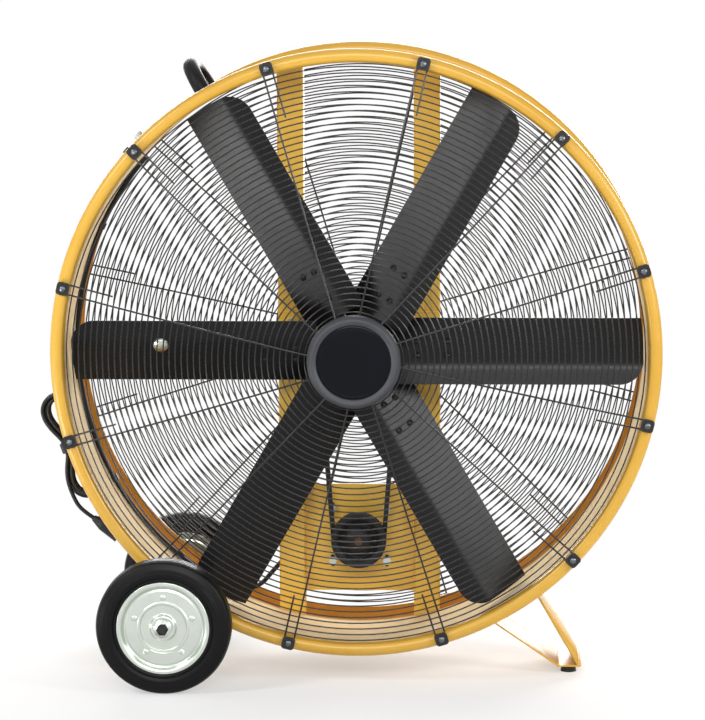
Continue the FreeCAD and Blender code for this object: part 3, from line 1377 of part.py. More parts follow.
class Hank:
    """The wound power cord: X along the hank, Y through its layers, Z out from the drum."""

    def __init__(self):
        self.half = NUM.hank_half
        self.draw = NUM.hank_waist
        self.swing = 2 * math.atan(self.draw / self.half)
        self.curve = self.half / (2 * math.sin(self.swing))
        layers = int(NUM.hank_layers)
        self.runs = int(NUM.runs_per_layer)
        self.total = layers * self.runs
        self.top = (layers - 1) / 2 * NUM.hank_layer

    def reach(self, run):
        """Distance of a run from the hank's middle: it spirals in and out again."""
        layer, place = divmod(run, self.runs)
        steps = place if layer % 2 else self.runs - 1 - place
        return NUM.hank_fold_radius + steps * NUM.hank_step / 2

    def level(self, run):
        """Place of a run through the layers."""
        return self.top - (run // self.runs) * NUM.hank_layer

    def outer(self):
        """Largest distance of a run from the middle."""
        return self.reach(0)

    def at(self, run, along, inset):
        """A point of a run; even runs lie next to the drum and go up."""
        side = -1 if run % 2 == 0 else 1
        return Vector(along, self.level(run), NUM.hank_rise + side * (self.reach(run) - inset))

    def run_edges(self, run):
        """One run, drawn in at the waist by four arcs."""
        way = 1 if run % 2 == 0 else -1

        def bulge(turn):
            return self.curve * (1 - math.cos(turn)), self.half - self.curve * math.sin(turn)

        def waist(turn):
            return self.draw - self.curve * (1 - math.cos(turn)), self.curve * math.sin(turn)

        halves = [bulge(0), bulge(self.swing / 2), bulge(self.swing), waist(self.swing / 2), waist(0)]
        near = [self.at(run, -way * along, inset) for inset, along in halves]
        far = [self.at(run, way * along, inset) for inset, along in reversed(halves)]
        return [Part.Arc(*near[0:3]).toShape(), Part.Arc(*near[2:5]).toShape(),
                Part.Arc(*far[0:3]).toShape(), Part.Arc(*far[2:5]).toShape()]

    def fold_edge(self, run):
        """The half turn from one run to the next, tilted where the cord climbs a layer."""
        way = 1 if run % 2 == 0 else -1
        start = self.at(run, way * self.half, 0)
        stop = self.at(run + 1, way * self.half, 0)
        middle = (start + stop) / 2
        return Part.Arc(start, middle + ACROSS * way * (stop - start).Length / 2, stop).toShape()

    def edges(self):
        """The whole path with a straight end of one diameter at each side."""
        size = NUM.cord_size
        first = self.at(0, -self.half, 0)
        path = [Part.LineSegment(first - ACROSS * size, first).toShape()]
        for run in range(self.total):
            path += self.run_edges(run)
            if run < self.total - 1:
                path.append(self.fold_edge(run))
        last = self.at(self.total - 1, -self.half, 0)
        path.append(Part.LineSegment(last, last - ACROSS * size).toShape())
        return path

    def start_point(self):
        """End face that meets the lead."""
        return self.at(0, -self.half - NUM.cord_size, 0)

    def end_point(self):
        """End face that meets the tail."""
        return self.at(self.total - 1, -self.half - NUM.cord_size, 0)


def least_gap(edges, size):
    """Least gap of a wound tube to itself, measured on points along its path."""
    spots = []
    travelled = 0.0
    for edge in edges:
        steps = max(2, int(edge.Length / 3.0))
        for point in edge.discretize(steps + 1)[:-1]:
            spots.append((travelled, point))
            travelled += edge.Length / steps
    least = float("inf")
    for i, (here, point) in enumerate(spots):
        for there, other in spots[i + 1:]:
            if there - here > 4 * size:
                least = min(least, point.distanceToPoint(other))
    return least - size


def build_cord():
    """The power cord: gland, lead, tied hank, tail, plug, tie and the hook that carries it."""
    size = NUM.cord_size
    hank = Hank()
    place = drum_place(NUM.hank_angle)
    path = hank.edges()
    print(f"cord_hank: least gap to itself {least_gap(path, size):.2f}")
    solid_node("cord_hank", tube_on(path, size, "cord_hank"), place)

    seat = NUM.drum_bore + NUM.drum_wall + NUM.seat_gap
    # The gland stands on the drum above the axle bracket, its boot pointing up along the wall.
    gland = NUM.gland_size
    gland_angle = axle_angle() - NUM.bracket_angle / 2 - math.degrees(NUM.gland_gap / seat)
    gland_place = drum_place(gland_angle, 0, hank.top)
    block = Part.makeBox(gland, gland, gland + 10, Vector(-gland / 2, -gland / 2, seat - 10))
    block = block.cut(cylinder(seat, Vector(0, -100, 0), AXIAL, 200))
    lift = seat + gland / 2
    boot = Part.makeCone(gland / 2 - 2, size / 2 + 1.5, NUM.gland_boot,
                         Vector(gland / 2 - 0.5, 0, lift), ACROSS)
    solid_node("cord_gland", block.fuse(boot).removeSplitter(), gland_place)

    to_hank = place.inverse().multiply(gland_place)
    exit_face = to_hank.multVec(Vector(gland / 2 - 0.5 + NUM.gland_boot, 0, lift))
    exit_way = to_hank.Rotation.multVec(ACROSS)
    stop = hank.start_point()
    gap = (stop - exit_face).Length
    lead_points = [exit_face, exit_face + exit_way * gap * 0.33, stop - ACROSS * gap * 0.33, stop]
    edges, radii = rounded_route(lead_points)
    print("cord_lead radii", [round(r) for r in radii])
    solid_node("cord_lead", tube_on(edges, size, "cord_lead"), place)

    start = hank.end_point()
    tail_points = [start, start + Vector(-22, 0, 0), start + Vector(-46, 0, -7),
                   start + Vector(-66, 0, -22)]
    edges, radii = rounded_route(tail_points)
    print("cord_tail radii", [round(r) for r in radii])
    solid_node("cord_tail", tube_on(edges, size, "cord_tail"), place)

    way = (tail_points[-1] - tail_points[-2]).normalize()
    body = Part.makeCone(size / 2 + 1.5, NUM.plug_size / 2 - 3, NUM.plug_boot)
    grip = Part.makeCone(NUM.plug_size / 2 - 3, NUM.plug_size / 2, NUM.plug_length,
                         Vector(0, 0, NUM.plug_boot))
    plug_place = place.multiply(facing(way, tail_points[-1]))
    solid_node("plug_body", body.fuse(grip).removeSplitter(), plug_place)
    face = NUM.plug_boot + NUM.plug_length
    blades = [Part.makeBox(1.5, 6.3, NUM.prong_length, Vector(a * 6.35 - 0.75, -3.15 - 4, face))
              for a in (-1, 1)]
    blades.append(cylinder(2.4, Vector(0, 7.8, face), UP, NUM.prong_length + 3))
    solid_node("plug_prongs", Part.makeCompound(blades), plug_place)

    half_wide = hank.outer() - hank.draw + size / 2 + NUM.tie_gap
    half_deep = hank.top + size / 2 + NUM.tie_gap
    sheet, width = NUM.tie_sheet, NUM.tie_width
    band = Part.makeBox(width, 2 * (half_deep + sheet), 2 * (half_wide + sheet),
                        Vector(-width / 2, -half_deep - sheet, NUM.hank_rise - half_wide - sheet))
    band = band.cut(Part.makeBox(2 * width, 2 * half_deep, 2 * half_wide,
                                 Vector(-width, -half_deep, NUM.hank_rise - half_wide)))
    solid_node("cord_tie", band, place)
    build_hook(hank, place, seat)


def build_hook(hank, place, seat):
    """A bent rod welded to the drum, from which the top of the hank hangs."""
    wire = NUM.hook_wire
    inside = NUM.hank_fold_radius - NUM.cord_size / 2 - wire / 2 - 2 * NUM.seat_gap
    along = hank.half + math.sqrt(inside ** 2 - NUM.hook_inset ** 2)
    bend = NUM.hook_bend_radius
    rear, tip = NUM.hook_plane, -NUM.hook_reach
    level = NUM.hank_rise - NUM.hook_inset
    turn = bend * (1 - math.sqrt(0.5))

    def at(y, z, lift=0.0):
        return Vector(along + lift, y, z)

    edges = [
        Part.LineSegment(at(rear, seat - 25), at(rear, level - bend)).toShape(),
        Part.Arc(at(rear, level - bend), at(rear - turn, level - turn), at(rear - bend, level)).toShape(),
        Part.LineSegment(at(rear - bend, level), at(tip + bend, level)).toShape(),
        Part.Arc(at(tip + bend, level), at(tip + turn, level, turn), at(tip, level, bend)).toShape()]
    rod = tube_on(edges, wire, "cord_hook")
    rod = rod.cut(cylinder(seat, Vector(0, -200, 0), AXIAL, 400))
    solid_node("cord_hook", rod, place)


def check_and_write():
    """Test every object and write each sub-part to its file."""
    DOC.recompute()
    for item in DOC.Objects:
        if "Invalid" in item.State or "Error" in item.State:
            raise RuntimeError(f"{item.Label} failed: {item.State}")
    os.makedirs("parts", exist_ok=True)
    for node, item in NODES.items():
        shape = item.Shape
        if shape.isNull() or not shape.isValid():
            raise RuntimeError(f"{node} has no valid shape")
        shape.exportStep(f"parts/{node}.step")
    print(len(NODES), "sub-parts written")


def main():
    build_drum()
    guard = build_guards()
    build_centre(guard)
    build_rotor()
    build_drive()
    build_frame()
    build_wheels()
    outside_bolts = build_stand() + build_handle()
    solid_node("drum_bolts", Part.makeCompound(outside_bolts))
    build_switch()
    build_cable()
    build_cord()
    check_and_write()


main()
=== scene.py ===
"""Looks of a wheeled, belt-driven drum fan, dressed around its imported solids."""

import json
import logging
import math
from collections.abc import Sequence
from dataclasses import dataclass
from enum import Enum

import bmesh
import bpy
from mathutils import Matrix, Quaternion, Vector


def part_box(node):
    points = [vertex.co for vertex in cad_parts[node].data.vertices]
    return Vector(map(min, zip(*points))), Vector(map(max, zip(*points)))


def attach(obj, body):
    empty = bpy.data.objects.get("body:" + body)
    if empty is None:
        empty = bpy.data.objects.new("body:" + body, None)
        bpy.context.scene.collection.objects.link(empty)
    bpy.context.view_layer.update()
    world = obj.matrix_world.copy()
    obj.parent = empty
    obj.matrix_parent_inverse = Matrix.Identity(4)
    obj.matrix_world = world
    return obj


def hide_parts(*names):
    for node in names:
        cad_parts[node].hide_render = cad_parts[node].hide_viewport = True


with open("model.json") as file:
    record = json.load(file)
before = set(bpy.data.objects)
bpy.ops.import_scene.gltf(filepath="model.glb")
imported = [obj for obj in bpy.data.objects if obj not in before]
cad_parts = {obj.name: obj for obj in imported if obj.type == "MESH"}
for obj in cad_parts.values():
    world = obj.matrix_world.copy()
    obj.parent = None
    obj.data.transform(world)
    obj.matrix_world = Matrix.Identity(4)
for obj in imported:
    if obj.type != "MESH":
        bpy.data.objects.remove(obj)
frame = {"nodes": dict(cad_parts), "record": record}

LOG = logging.getLogger("drum_fan")
# Sizes of pieces are in millimetres and angles in degrees; the scene is in metres.
MM = 0.001
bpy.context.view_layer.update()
AXIS_HEIGHT = 616.0
DRUM_AXIS = Vector((0, 0, AXIS_HEIGHT)) * MM
WHITE = (1.0, 1.0, 1.0, 1.0)
# Points closer than this, in metres, are one point: on a turned piece, and on a solid's copy.
TURNED_MERGE = 1e-7
COPY_MERGE = 2e-6
# A smaller radius, in millimetres, is a point on the axis.
ON_AXIS = 1e-6
# Edges of a repeated piece, and of the strap, that turn more than this many degrees stay sharp.
REPEAT_SHARP = 50.0
STRAP_SHARP = 40.0
# The middle of a noise pattern, where most of its values lie.
PATTERN_RANGE = (0.25, 0.75)
LEAST_ROUGHNESS = 0.04
COAT_ROUGHNESS = 0.12
BUMP_STRENGTH = 0.6
# A finish drifts between its two tones in soft clouds.
DRIFT_DETAIL = 5.0
DRIFT_ROUGHNESS = 0.62
DRIFT_RANGE = (0.34, 0.66)
# Brushing draws the grain out along Y.
BRUSH_STROKE = (1.0, 0.06, 1.0)
# A corner of an outline: its two places, then the radius that rounds it, where it has one.
Corner = tuple[float, ...]


def linear(code: str) -> tuple[float, float, float, float]:
    """Turn an sRGB hex colour into linear values.

    Args:
        code: Six hex digits.

    Returns:
        Linear red, green and blue with an alpha of one.
    """
    channels = [int(code[i:i + 2], 16) / 255 for i in (0, 2, 4)]
    values = [c / 12.92 if c <= 0.04045 else ((c + 0.055) / 1.055) ** 2.4 for c in channels]
    return (values[0], values[1], values[2], 1.0)


def add(tree: bpy.types.NodeTree, kind: str, inputs: dict | None = None,
        **settings: object) -> bpy.types.Node:
    """Add a node with its settings, input values and links.

    Args:
        tree: The tree that gets the node.
        kind: The node's type name.
        inputs: Values or sockets to link, by the input's name or number.
        **settings: Attributes of the node.

    Returns:
        The new node.
    """
    node = tree.nodes.new(kind)
    for name, value in settings.items():
        setattr(node, name, value)
    for key, value in (inputs or {}).items():
        if isinstance(value, bpy.types.NodeSocket):
            tree.links.new(value, node.inputs[key])
        else:
            node.inputs[key].default_value = value
    return node


def bare_tree(owner: bpy.types.Material | bpy.types.World) -> bpy.types.NodeTree:
    """Give a material or the world an empty node tree.

    Args:
        owner: The material or the world.

    Returns:
        Its tree.
    """
    owner.use_nodes = True
    owner.node_tree.nodes.clear()
    return owner.node_tree


class Skin(Enum):
    """How a surface was made, which decides its fine relief."""

    SPRAYED = "sprayed"
    MOULDED = "moulded"
    BRUSHED = "brushed"
    PLATED = "plated"
    CAST = "cast"


GRAIN_DETAIL = {Skin.SPRAYED: 1.5, Skin.MOULDED: 6.0, Skin.BRUSHED: 3.0, Skin.CAST: 9.0}


@dataclass(frozen=True)
class Finish:
    """A material: its colours, gloss and relief, with the real sizes of its patterns."""

    name: str
    colour: str
    drift: str
    roughness: float
    skin: Skin
    metallic: float = 0.0
    spread: float = 0.08
    drift_mm: float = 160.0
    grain_mm: float = 3.0
    relief_mm: float = 0.05
    coat: float = 0.0
    ior: float = 1.5
    shine: float = 0.5

    def material(self) -> bpy.types.Material:
        """Build the material once and return it.

        Returns:
            The node material of this finish.
        """
        known = bpy.data.materials.get(self.name)
        if known is not None:
            return known
        made = bpy.data.materials.new(self.name)
        made.diffuse_color = linear(self.colour)
        tree = bare_tree(made)
        place = add(tree, "ShaderNodeTexCoord").outputs["Object"]
        fine = self.relief(tree, place)
        gloss = add(tree, "ShaderNodeMapRange", {
            "Value": fine, "From Min": PATTERN_RANGE[0], "From Max": PATTERN_RANGE[1],
            "To Min": max(LEAST_ROUGHNESS, self.roughness - self.spread),
            "To Max": min(1.0, self.roughness + self.spread)})
        bump = add(tree, "ShaderNodeBump", {
            "Height": fine, "Strength": BUMP_STRENGTH, "Distance": self.relief_mm * MM})
        shader = add(tree, "ShaderNodeBsdfPrincipled", {
            "Base Color": self.tone(tree, place), "Roughness": gloss.outputs["Result"],
            "Normal": bump.outputs["Normal"], "Metallic": self.metallic, "IOR": self.ior,
            "Specular IOR Level": self.shine, "Coat Weight": self.coat,
            "Coat Roughness": COAT_ROUGHNESS})
        add(tree, "ShaderNodeOutputMaterial", {"Surface": shader.outputs["BSDF"]})
        return made

    def tone(self, tree: bpy.types.NodeTree, place: bpy.types.NodeSocket) -> bpy.types.NodeSocket:
        """Add the colour, which drifts softly between two tones.

        Args:
            tree: The material's tree.
            place: Object coordinates.

        Returns:
            The colour.
        """
        wide = add(tree, "ShaderNodeTexNoise", {
            "Vector": place, "Scale": 1 / (self.drift_mm * MM), "Detail": DRIFT_DETAIL,
            "Roughness": DRIFT_ROUGHNESS})
        ramp = add(tree, "ShaderNodeValToRGB", {"Fac": wide.outputs["Fac"]})
        tones = (self.drift, self.colour)
        for stop, position, tone in zip(ramp.color_ramp.elements, DRIFT_RANGE, tones):
            stop.position = position
            stop.color = linear(tone)
        return ramp.outputs["Color"]

    def relief(self, tree: bpy.types.NodeTree, place: bpy.types.NodeSocket) -> bpy.types.NodeSocket:
        """Add the fine pattern of the skin.

        Args:
            tree: The material's tree.
            place: Object coordinates.

        Returns:
            The pattern's value from nought to one.
        """
        scale = 1 / (self.grain_mm * MM)
        if self.skin is Skin.PLATED:
            cells = add(tree, "ShaderNodeTexVoronoi", {"Vector": place, "Scale": scale},
                        feature="SMOOTH_F1")
            return cells.outputs["Distance"]
        if self.skin is Skin.BRUSHED:
            drawn = add(tree, "ShaderNodeMapping", {"Vector": place, "Scale": BRUSH_STROKE})
            place = drawn.outputs["Vector"]
        noise = add(tree, "ShaderNodeTexNoise", {
            "Vector": place, "Scale": scale, "Detail": GRAIN_DETAIL[self.skin]})
        return noise.outputs["Fac"]


@dataclass(frozen=True)
class WallFinish(Finish):
    """A paint that is browner along the intake half of the drum: the brown is painted shade."""

    # Painted shade: the brown the inside of the wall takes behind the blades, where the drum shades
    # it.
    rear: str = "B87A30"
    turn_from_mm: float = 18.0
    turn_to_mm: float = 40.0

    def tone(self, tree: bpy.types.NodeTree, place: bpy.types.NodeSocket) -> bpy.types.NodeSocket:
        """Add the colour, which turns to the painted shade of the rear along the drum.

        Args:
            tree: The material's tree.
            place: Object coordinates.

        Returns:
            The colour.
        """
        front = super().tone(tree, place)
        along = add(tree, "ShaderNodeSeparateXYZ", {0: place}).outputs["Y"]
        share = add(tree, "ShaderNodeMapRange", {
            "Value": along, "From Min": self.turn_from_mm * MM, "From Max": self.turn_to_mm * MM},
            interpolation_type="SMOOTHSTEP")
        both = add(tree, "ShaderNodeMix", {
            0: share.outputs["Result"], 6: front, 7: linear(self.rear)}, data_type="RGBA")
        return both.outputs[2]


# Grinding lines, moulded grain and the grain of plating are drawn coarser than the real ones.

# Polyester powder paint: a thick glossy coat with a soft orange-peel skin.
YELLOW_POWDER = Finish("yellow_powder_paint", colour="D3A53C", drift="CA9A2F", roughness=0.34,
                       skin=Skin.SPRAYED, spread=0.05, drift_mm=240, grain_mm=2.5, relief_mm=0.008,
                       coat=0.06)
# The same paint on the struts and plates inside the drum, drawn lighter because they stand in its
# shade.
YELLOW_FRAME = Finish("yellow_frame_paint", colour="F6CA58", drift="ECBE4B", roughness=0.32,
                      skin=Skin.SPRAYED, spread=0.05, drift_mm=240, grain_mm=2.5, relief_mm=0.012)
# The same paint inside the drum, with no reflection of its own and painted light instead: a pale
# tan at the front for the surround's reflection, and a painted shade of brown behind the blades.
WALL_PAINTED_REFLECTION_AND_SHADE = WallFinish("yellow_paint_painted_reflection_and_shade", colour="FFEBC6", drift="F9E0B4", roughness=0.6,
                         skin=Skin.SPRAYED, spread=0.08, drift_mm=180, grain_mm=2.5,
                         relief_mm=0.012, shine=0.0)
# Sprayed enamel on sheet steel: satin black that greys where it catches a lamp.
BLACK_ENAMEL = Finish("satin_black_enamel", colour="101012", drift="0C0C0E", roughness=0.33,
                      skin=Skin.SPRAYED, spread=0.06, drift_mm=120, grain_mm=3.0, relief_mm=0.04,
                      ior=1.36)
# Dipped wire: a smooth black plastic-like skin.
BLACK_WIRE = Finish("dipped_black_wire", colour="0C0C0E", drift="09090A", roughness=0.3,
                    skin=Skin.SPRAYED, drift_mm=60, grain_mm=1.5, relief_mm=0.01, ior=1.52)
# Injection-moulded ABS, spark-eroded texture: an even dark grey.
CAP_ABS = Finish("textured_dark_abs", colour="3A3B40", drift="323338", roughness=0.5,
                 skin=Skin.MOULDED, drift_mm=40, grain_mm=0.9, relief_mm=0.05)
# Injection-moulded ABS, polished: almost black with a blue cast.
CAP_GLOSS = Finish("polished_navy_abs", colour="0A0B13", drift="08090F", roughness=0.24,
                   skin=Skin.MOULDED, spread=0.04, drift_mm=50, grain_mm=2.5, relief_mm=0.01,
                   ior=1.22)
# Electroplated zinc on pressed steel: silver-white with a faint greenish cast.
ZINC = Finish("zinc_plate", colour="D8DED6", drift="CCD3CA", roughness=0.3, skin=Skin.PLATED,
              metallic=1.0, spread=0.02, drift_mm=70, grain_mm=6.0, relief_mm=0.0006)
# Ground bar steel: fine lines along the bar.
STEEL = Finish("ground_steel", colour="A9AAAC", drift="97989B", roughness=0.3, skin=Skin.BRUSHED,
               metallic=1.0, drift_mm=20, grain_mm=0.8, relief_mm=0.01)
# Blackened bolts: oiled black oxide on steel.
BLACK_OXIDE = Finish("black_oxide_steel", colour="1A1A1B", drift="121213", roughness=0.4,
                     skin=Skin.BRUSHED, drift_mm=12, grain_mm=1.0, relief_mm=0.02)
# Grey cast iron under thin black paint: a dull, coarse black.
IRON = Finish("painted_cast_iron", colour="161617", drift="101011", roughness=0.5, skin=Skin.CAST,
              drift_mm=30, grain_mm=2.0, relief_mm=0.1, ior=1.4)
# Rusted bar end: brown where the bare steel has tarnished.
TARNISHED = Finish("tarnished_steel", colour="6A4534", drift="4E3327", roughness=0.55,
                   skin=Skin.CAST, metallic=0.5, drift_mm=8, grain_mm=1.2, relief_mm=0.03)
# Solid vulcanised rubber, moulded: near black with a soft gloss on its rings.
TYRE_RUBBER = Finish("tyre_rubber", colour="080809", drift="060607", roughness=0.4, skin=Skin.CAST,
                     spread=0.08, drift_mm=45, grain_mm=1.4, relief_mm=0.02, ior=1.27)
# Moulded rubber sleeve of the handle: matt black.
GRIP_RUBBER = Finish("moulded_rubber_grip", colour="0A0A0B", drift="070708", roughness=0.5,
                     skin=Skin.MOULDED, drift_mm=30, grain_mm=1.2, relief_mm=0.03, ior=1.28)
# Plated and darkened bolt heads: mid grey metal.
DARK_ZINC = Finish("darkened_zinc_plate", colour="6E7074", drift="5C5E62", roughness=0.34,
                   skin=Skin.BRUSHED, metallic=1.0, drift_mm=10, grain_mm=0.8, relief_mm=0.01)
# Soft PVC and rubber of cords, belt and feet: an even matt black.
CORD_RUBBER = Finish("cord_rubber", colour="111112", drift="0C0C0D", roughness=0.46,
                     skin=Skin.MOULDED, drift_mm=30, grain_mm=0.8, relief_mm=0.03, ior=1.42)
# Baked enamel of the motor: dark grey with a low gloss.
MOTOR_ENAMEL = Finish("motor_enamel", colour="2A2C2F", drift="222427", roughness=0.42,
                      skin=Skin.SPRAYED, drift_mm=70, grain_mm=2.5, relief_mm=0.05)
# Moulded nylon: an even, slightly rough skin, pale on the knob and black on small fittings.
PALE_NYLON = Finish("pale_grey_nylon", colour="CFCFCA", drift="C2C2BC", roughness=0.45,
                    skin=Skin.MOULDED, drift_mm=15, grain_mm=0.8, relief_mm=0.02)
BLACK_NYLON = Finish("black_nylon", colour="161618", drift="101012", roughness=0.5,
                     skin=Skin.MOULDED, drift_mm=15, grain_mm=0.8, relief_mm=0.02)
# Rolled brass strip: bright yellow metal with fine lines.
BRASS = Finish("rolled_brass", colour="D9B45C", drift="C79F47", roughness=0.28, skin=Skin.BRUSHED,
               metallic=1.0, drift_mm=8, grain_mm=0.6, relief_mm=0.01)

FINISH_OF_SLOT = {
    "yellow_paint": YELLOW_POWDER, "black_paint": BLACK_ENAMEL, "black_wire": BLACK_WIRE,
    "cap_black": CAP_ABS, "cap_navy": CAP_GLOSS, "zinc": ZINC, "steel": STEEL, "cast": IRON,
    "tyre": TYRE_RUBBER, "rubber": CORD_RUBBER, "motor_paint": MOTOR_ENAMEL,
    "grey_plastic": PALE_NYLON, "black_plastic": BLACK_NYLON, "brass": BRASS,
}
SLOT_OF_NODE = {row["node"]: row["material_slot"] for row in frame["record"]["subparts"]}
FINISH_OF_NODE = {node: FINISH_OF_SLOT[slot] for node, slot in SLOT_OF_NODE.items()}
FINISH_OF_NODE.update(
    balance_weight=ZINC, blade_rivets=BLACK_ENAMEL, motor_shaft=TARNISHED, left_channel=YELLOW_FRAME,
    right_channel=YELLOW_FRAME, bearing_bridge=YELLOW_FRAME, motor_plate=YELLOW_FRAME,
    handle=GRIP_RUBBER, clip_bolts=DARK_ZINC)
BODIES = frame["record"]["behaviour"]["bodies"]
BODY_OF_NODE = {node: body for body, nodes in BODIES.items() for node in nodes}


def new_object(name: str, data: bpy.types.ID) -> bpy.types.Object:
    """Link new object data into the scene.

    Args:
        name: The piece's name.
        data: A mesh, a curve, a lamp or a camera.

    Returns:
        The new object.
    """
    made = bpy.data.objects.new(name, data)
    bpy.context.scene.collection.objects.link(made)
    return made


def mesh_of(name: str, shape: bmesh.types.BMesh) -> bpy.types.Mesh:
    """Keep an edited shape as a mesh.

    Args:
        name: The mesh's name.
        shape: The shape, which is freed.

    Returns:
        The new mesh.
    """
    mesh = bpy.data.meshes.new(name)
    shape.to_mesh(mesh)
    shape.free()
    return mesh


def smooth(mesh: bpy.types.Mesh, angle: float = 32.0) -> None:
    """Shade a mesh smooth except at its real edges.

    Args:
        mesh: The mesh to shade.
        angle: Edges that turn more than this many degrees stay sharp.
    """
    for face in mesh.polygons:
        face.use_smooth = True
    mesh.set_sharp_from_angle(angle=math.radians(angle))


def stand_for(piece: bpy.types.Object, nodes: Sequence[str],
              finish: Finish | None = None) -> bpy.types.Object:
    """Let a piece ride on the body of the nodes that it replaces.

    Args:
        piece: The finished piece, in place.
        nodes: The solids that it stands for, all on one body.
        finish: Its material, or None where the piece already has one.

    Returns:
        The piece.
    """
    if finish is not None:
        piece.data.materials.clear()
        piece.data.materials.append(finish.material())
    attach(piece, BODY_OF_NODE[nodes[0]])
    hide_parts(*nodes)
    LOG.info("%s stands for %s", piece.name, ", ".join(nodes))
    return piece


def rounded(corners: Sequence[Corner], steps: int = 5) -> list[tuple[float, float]]:
    """Round the corners of an outline.

    Args:
        corners: Corners as (x, y) or (x, y, radius).
        steps: Steps along each rounded corner.

    Returns:
        The outline's points.
    """
    points: list[tuple[float, float]] = []
    for i, corner in enumerate(corners):
        here = Vector(corner[:2])
        if len(corner) < 3:
            points.append((here.x, here.y))
            continue
        back = (Vector(corners[i - 1][:2]) - here).normalized()
        on = (Vector(corners[(i + 1) % len(corners)][:2]) - here).normalized()
        half = back.angle(on) / 2
        trim = corner[2] / math.tan(half)
        first, last = here + back * trim, here + on * trim
        for k in range(steps + 1):
            share = k / steps
            blend = first * (1 - share) ** 2 + here * (2 * share * (1 - share)) + last * share ** 2
            points.append((blend.x, blend.y))
    return points


def bridge(shape: bmesh.types.BMesh, rings: Sequence[Sequence[bmesh.types.BMVert]]) -> None:
    """Join rings of points by faces, each ring to the next and the last to the first.

    Args:
        shape: The shape that gets the faces.
        rings: Rings of equal length, or of a single point on the axis.
    """
    for ring, nearby in zip(rings, [*rings[1:], rings[0]]):
        for k in range(max(len(ring), len(nearby))):
            ends = [ring[k % len(ring)], ring[(k + 1) % len(ring)],
                    nearby[(k + 1) % len(nearby)], nearby[k % len(nearby)]]
            unique = list(dict.fromkeys(ends))
            if len(unique) > 2:
                shape.faces.new(unique)


def lathe(name: str, corners: Sequence[Corner], centre: Vector, segments: int) -> bpy.types.Object:
    """Turn a closed outline about an axis that runs along Y.

    Args:
        name: The piece's name.
        corners: Corners as (radius, place along Y), in millimetres from the centre.
        centre: The spot on the axis that the outline is measured from, in metres.
        segments: Faces round the axis.

    Returns:
        The turned piece.
    """
    shape = bmesh.new()
    turns = [2 * math.pi * k / segments for k in range(segments)]
    rings = []
    for radius, along in rounded(corners):
        spots = [Vector((radius * math.cos(t), along, radius * math.sin(t))) for t in turns]
        if radius < ON_AXIS:
            spots = [Vector((0, along, 0))]
        rings.append([shape.verts.new(centre + spot * MM) for spot in spots])
    bridge(shape, rings)
    bmesh.ops.remove_doubles(shape, verts=shape.verts, dist=TURNED_MERGE)
    bmesh.ops.recalc_face_normals(shape, faces=shape.faces)
    mesh = mesh_of(name, shape)
    smooth(mesh)
    return new_object(name, mesh)


def smooth_copy(node: str) -> bpy.types.Object:
    """Copy a solid's mesh, merge it and shade its curved faces smooth.

    Args:
        node: The solid's name.

    Returns:
        The copy, which stands for the solid.
    """
    mesh = frame["nodes"][node].data.copy()
    shape = bmesh.new()
    shape.from_mesh(mesh)
    bmesh.ops.remove_doubles(shape, verts=shape.verts, dist=COPY_MERGE)
    shape.to_mesh(mesh)
    shape.free()
    smooth(mesh)
    copy = new_object(f"{node}_finished", mesh)
    return stand_for(copy, [node], FINISH_OF_NODE[node])


def new_tree(name: str, numbers: Sequence[str]) -> tuple[bpy.types.NodeTree, bpy.types.Node]:
    """Start a geometry tree with one geometry input and named number inputs.

    Args:
        name: The tree's name.
        numbers: Names of its number inputs.

    Returns:
        The tree and its input node.
    """
    tree = bpy.data.node_groups.new(name, "GeometryNodeTree")
    tree.interface.new_socket("Geometry", in_out="INPUT", socket_type="NodeSocketGeometry")
    for number in numbers:
        tree.interface.new_socket(number, in_out="INPUT", socket_type="NodeSocketFloat")
    tree.interface.new_socket("Geometry", in_out="OUTPUT", socket_type="NodeSocketGeometry")
    return tree, add(tree, "NodeGroupInput")


def close_tree(tree: bpy.types.NodeTree, shape: bpy.types.NodeSocket, finish: Finish) -> None:
    """End a geometry tree: real geometry with its material.

    Args:
        tree: The tree.
        shape: The geometry made so far.
        finish: The material to set.
    """
    real = add(tree, "GeometryNodeRealizeInstances", {0: shape})
    dressed = add(tree, "GeometryNodeSetMaterial", {
        "Geometry": real.outputs[0], "Material": finish.material()})
    add(tree, "NodeGroupOutput", {0: dressed.outputs[0]})


def solve(name: str, start: bpy.types.Mesh, tree: bpy.types.NodeTree,
          numbers: dict[str, float]) -> bpy.types.Object:
    """Run a geometry tree on a mesh and keep the result as a plain mesh.

    Args:
        name: The piece's name.
        start: The mesh that goes in.
        tree: The geometry tree.
        numbers: Values of the tree's inputs, by name.

    Returns:
        The new piece.
    """
    piece = new_object(name, start)
    modifier = piece.modifiers.new(tree.name, "NODES")
    modifier.node_group = tree
    for item in tree.interface.items_tree:
        if item.in_out == "INPUT" and item.name in numbers:
            modifier[item.identifier] = float(numbers[item.name])
    graph = bpy.context.evaluated_depsgraph_get()
    result = bpy.data.meshes.new_from_object(piece.evaluated_get(graph))
    piece.modifiers.remove(modifier)
    piece.data = result
    bpy.data.meshes.remove(start)
    result.name = name
    smooth(result, REPEAT_SHARP)
    return piece


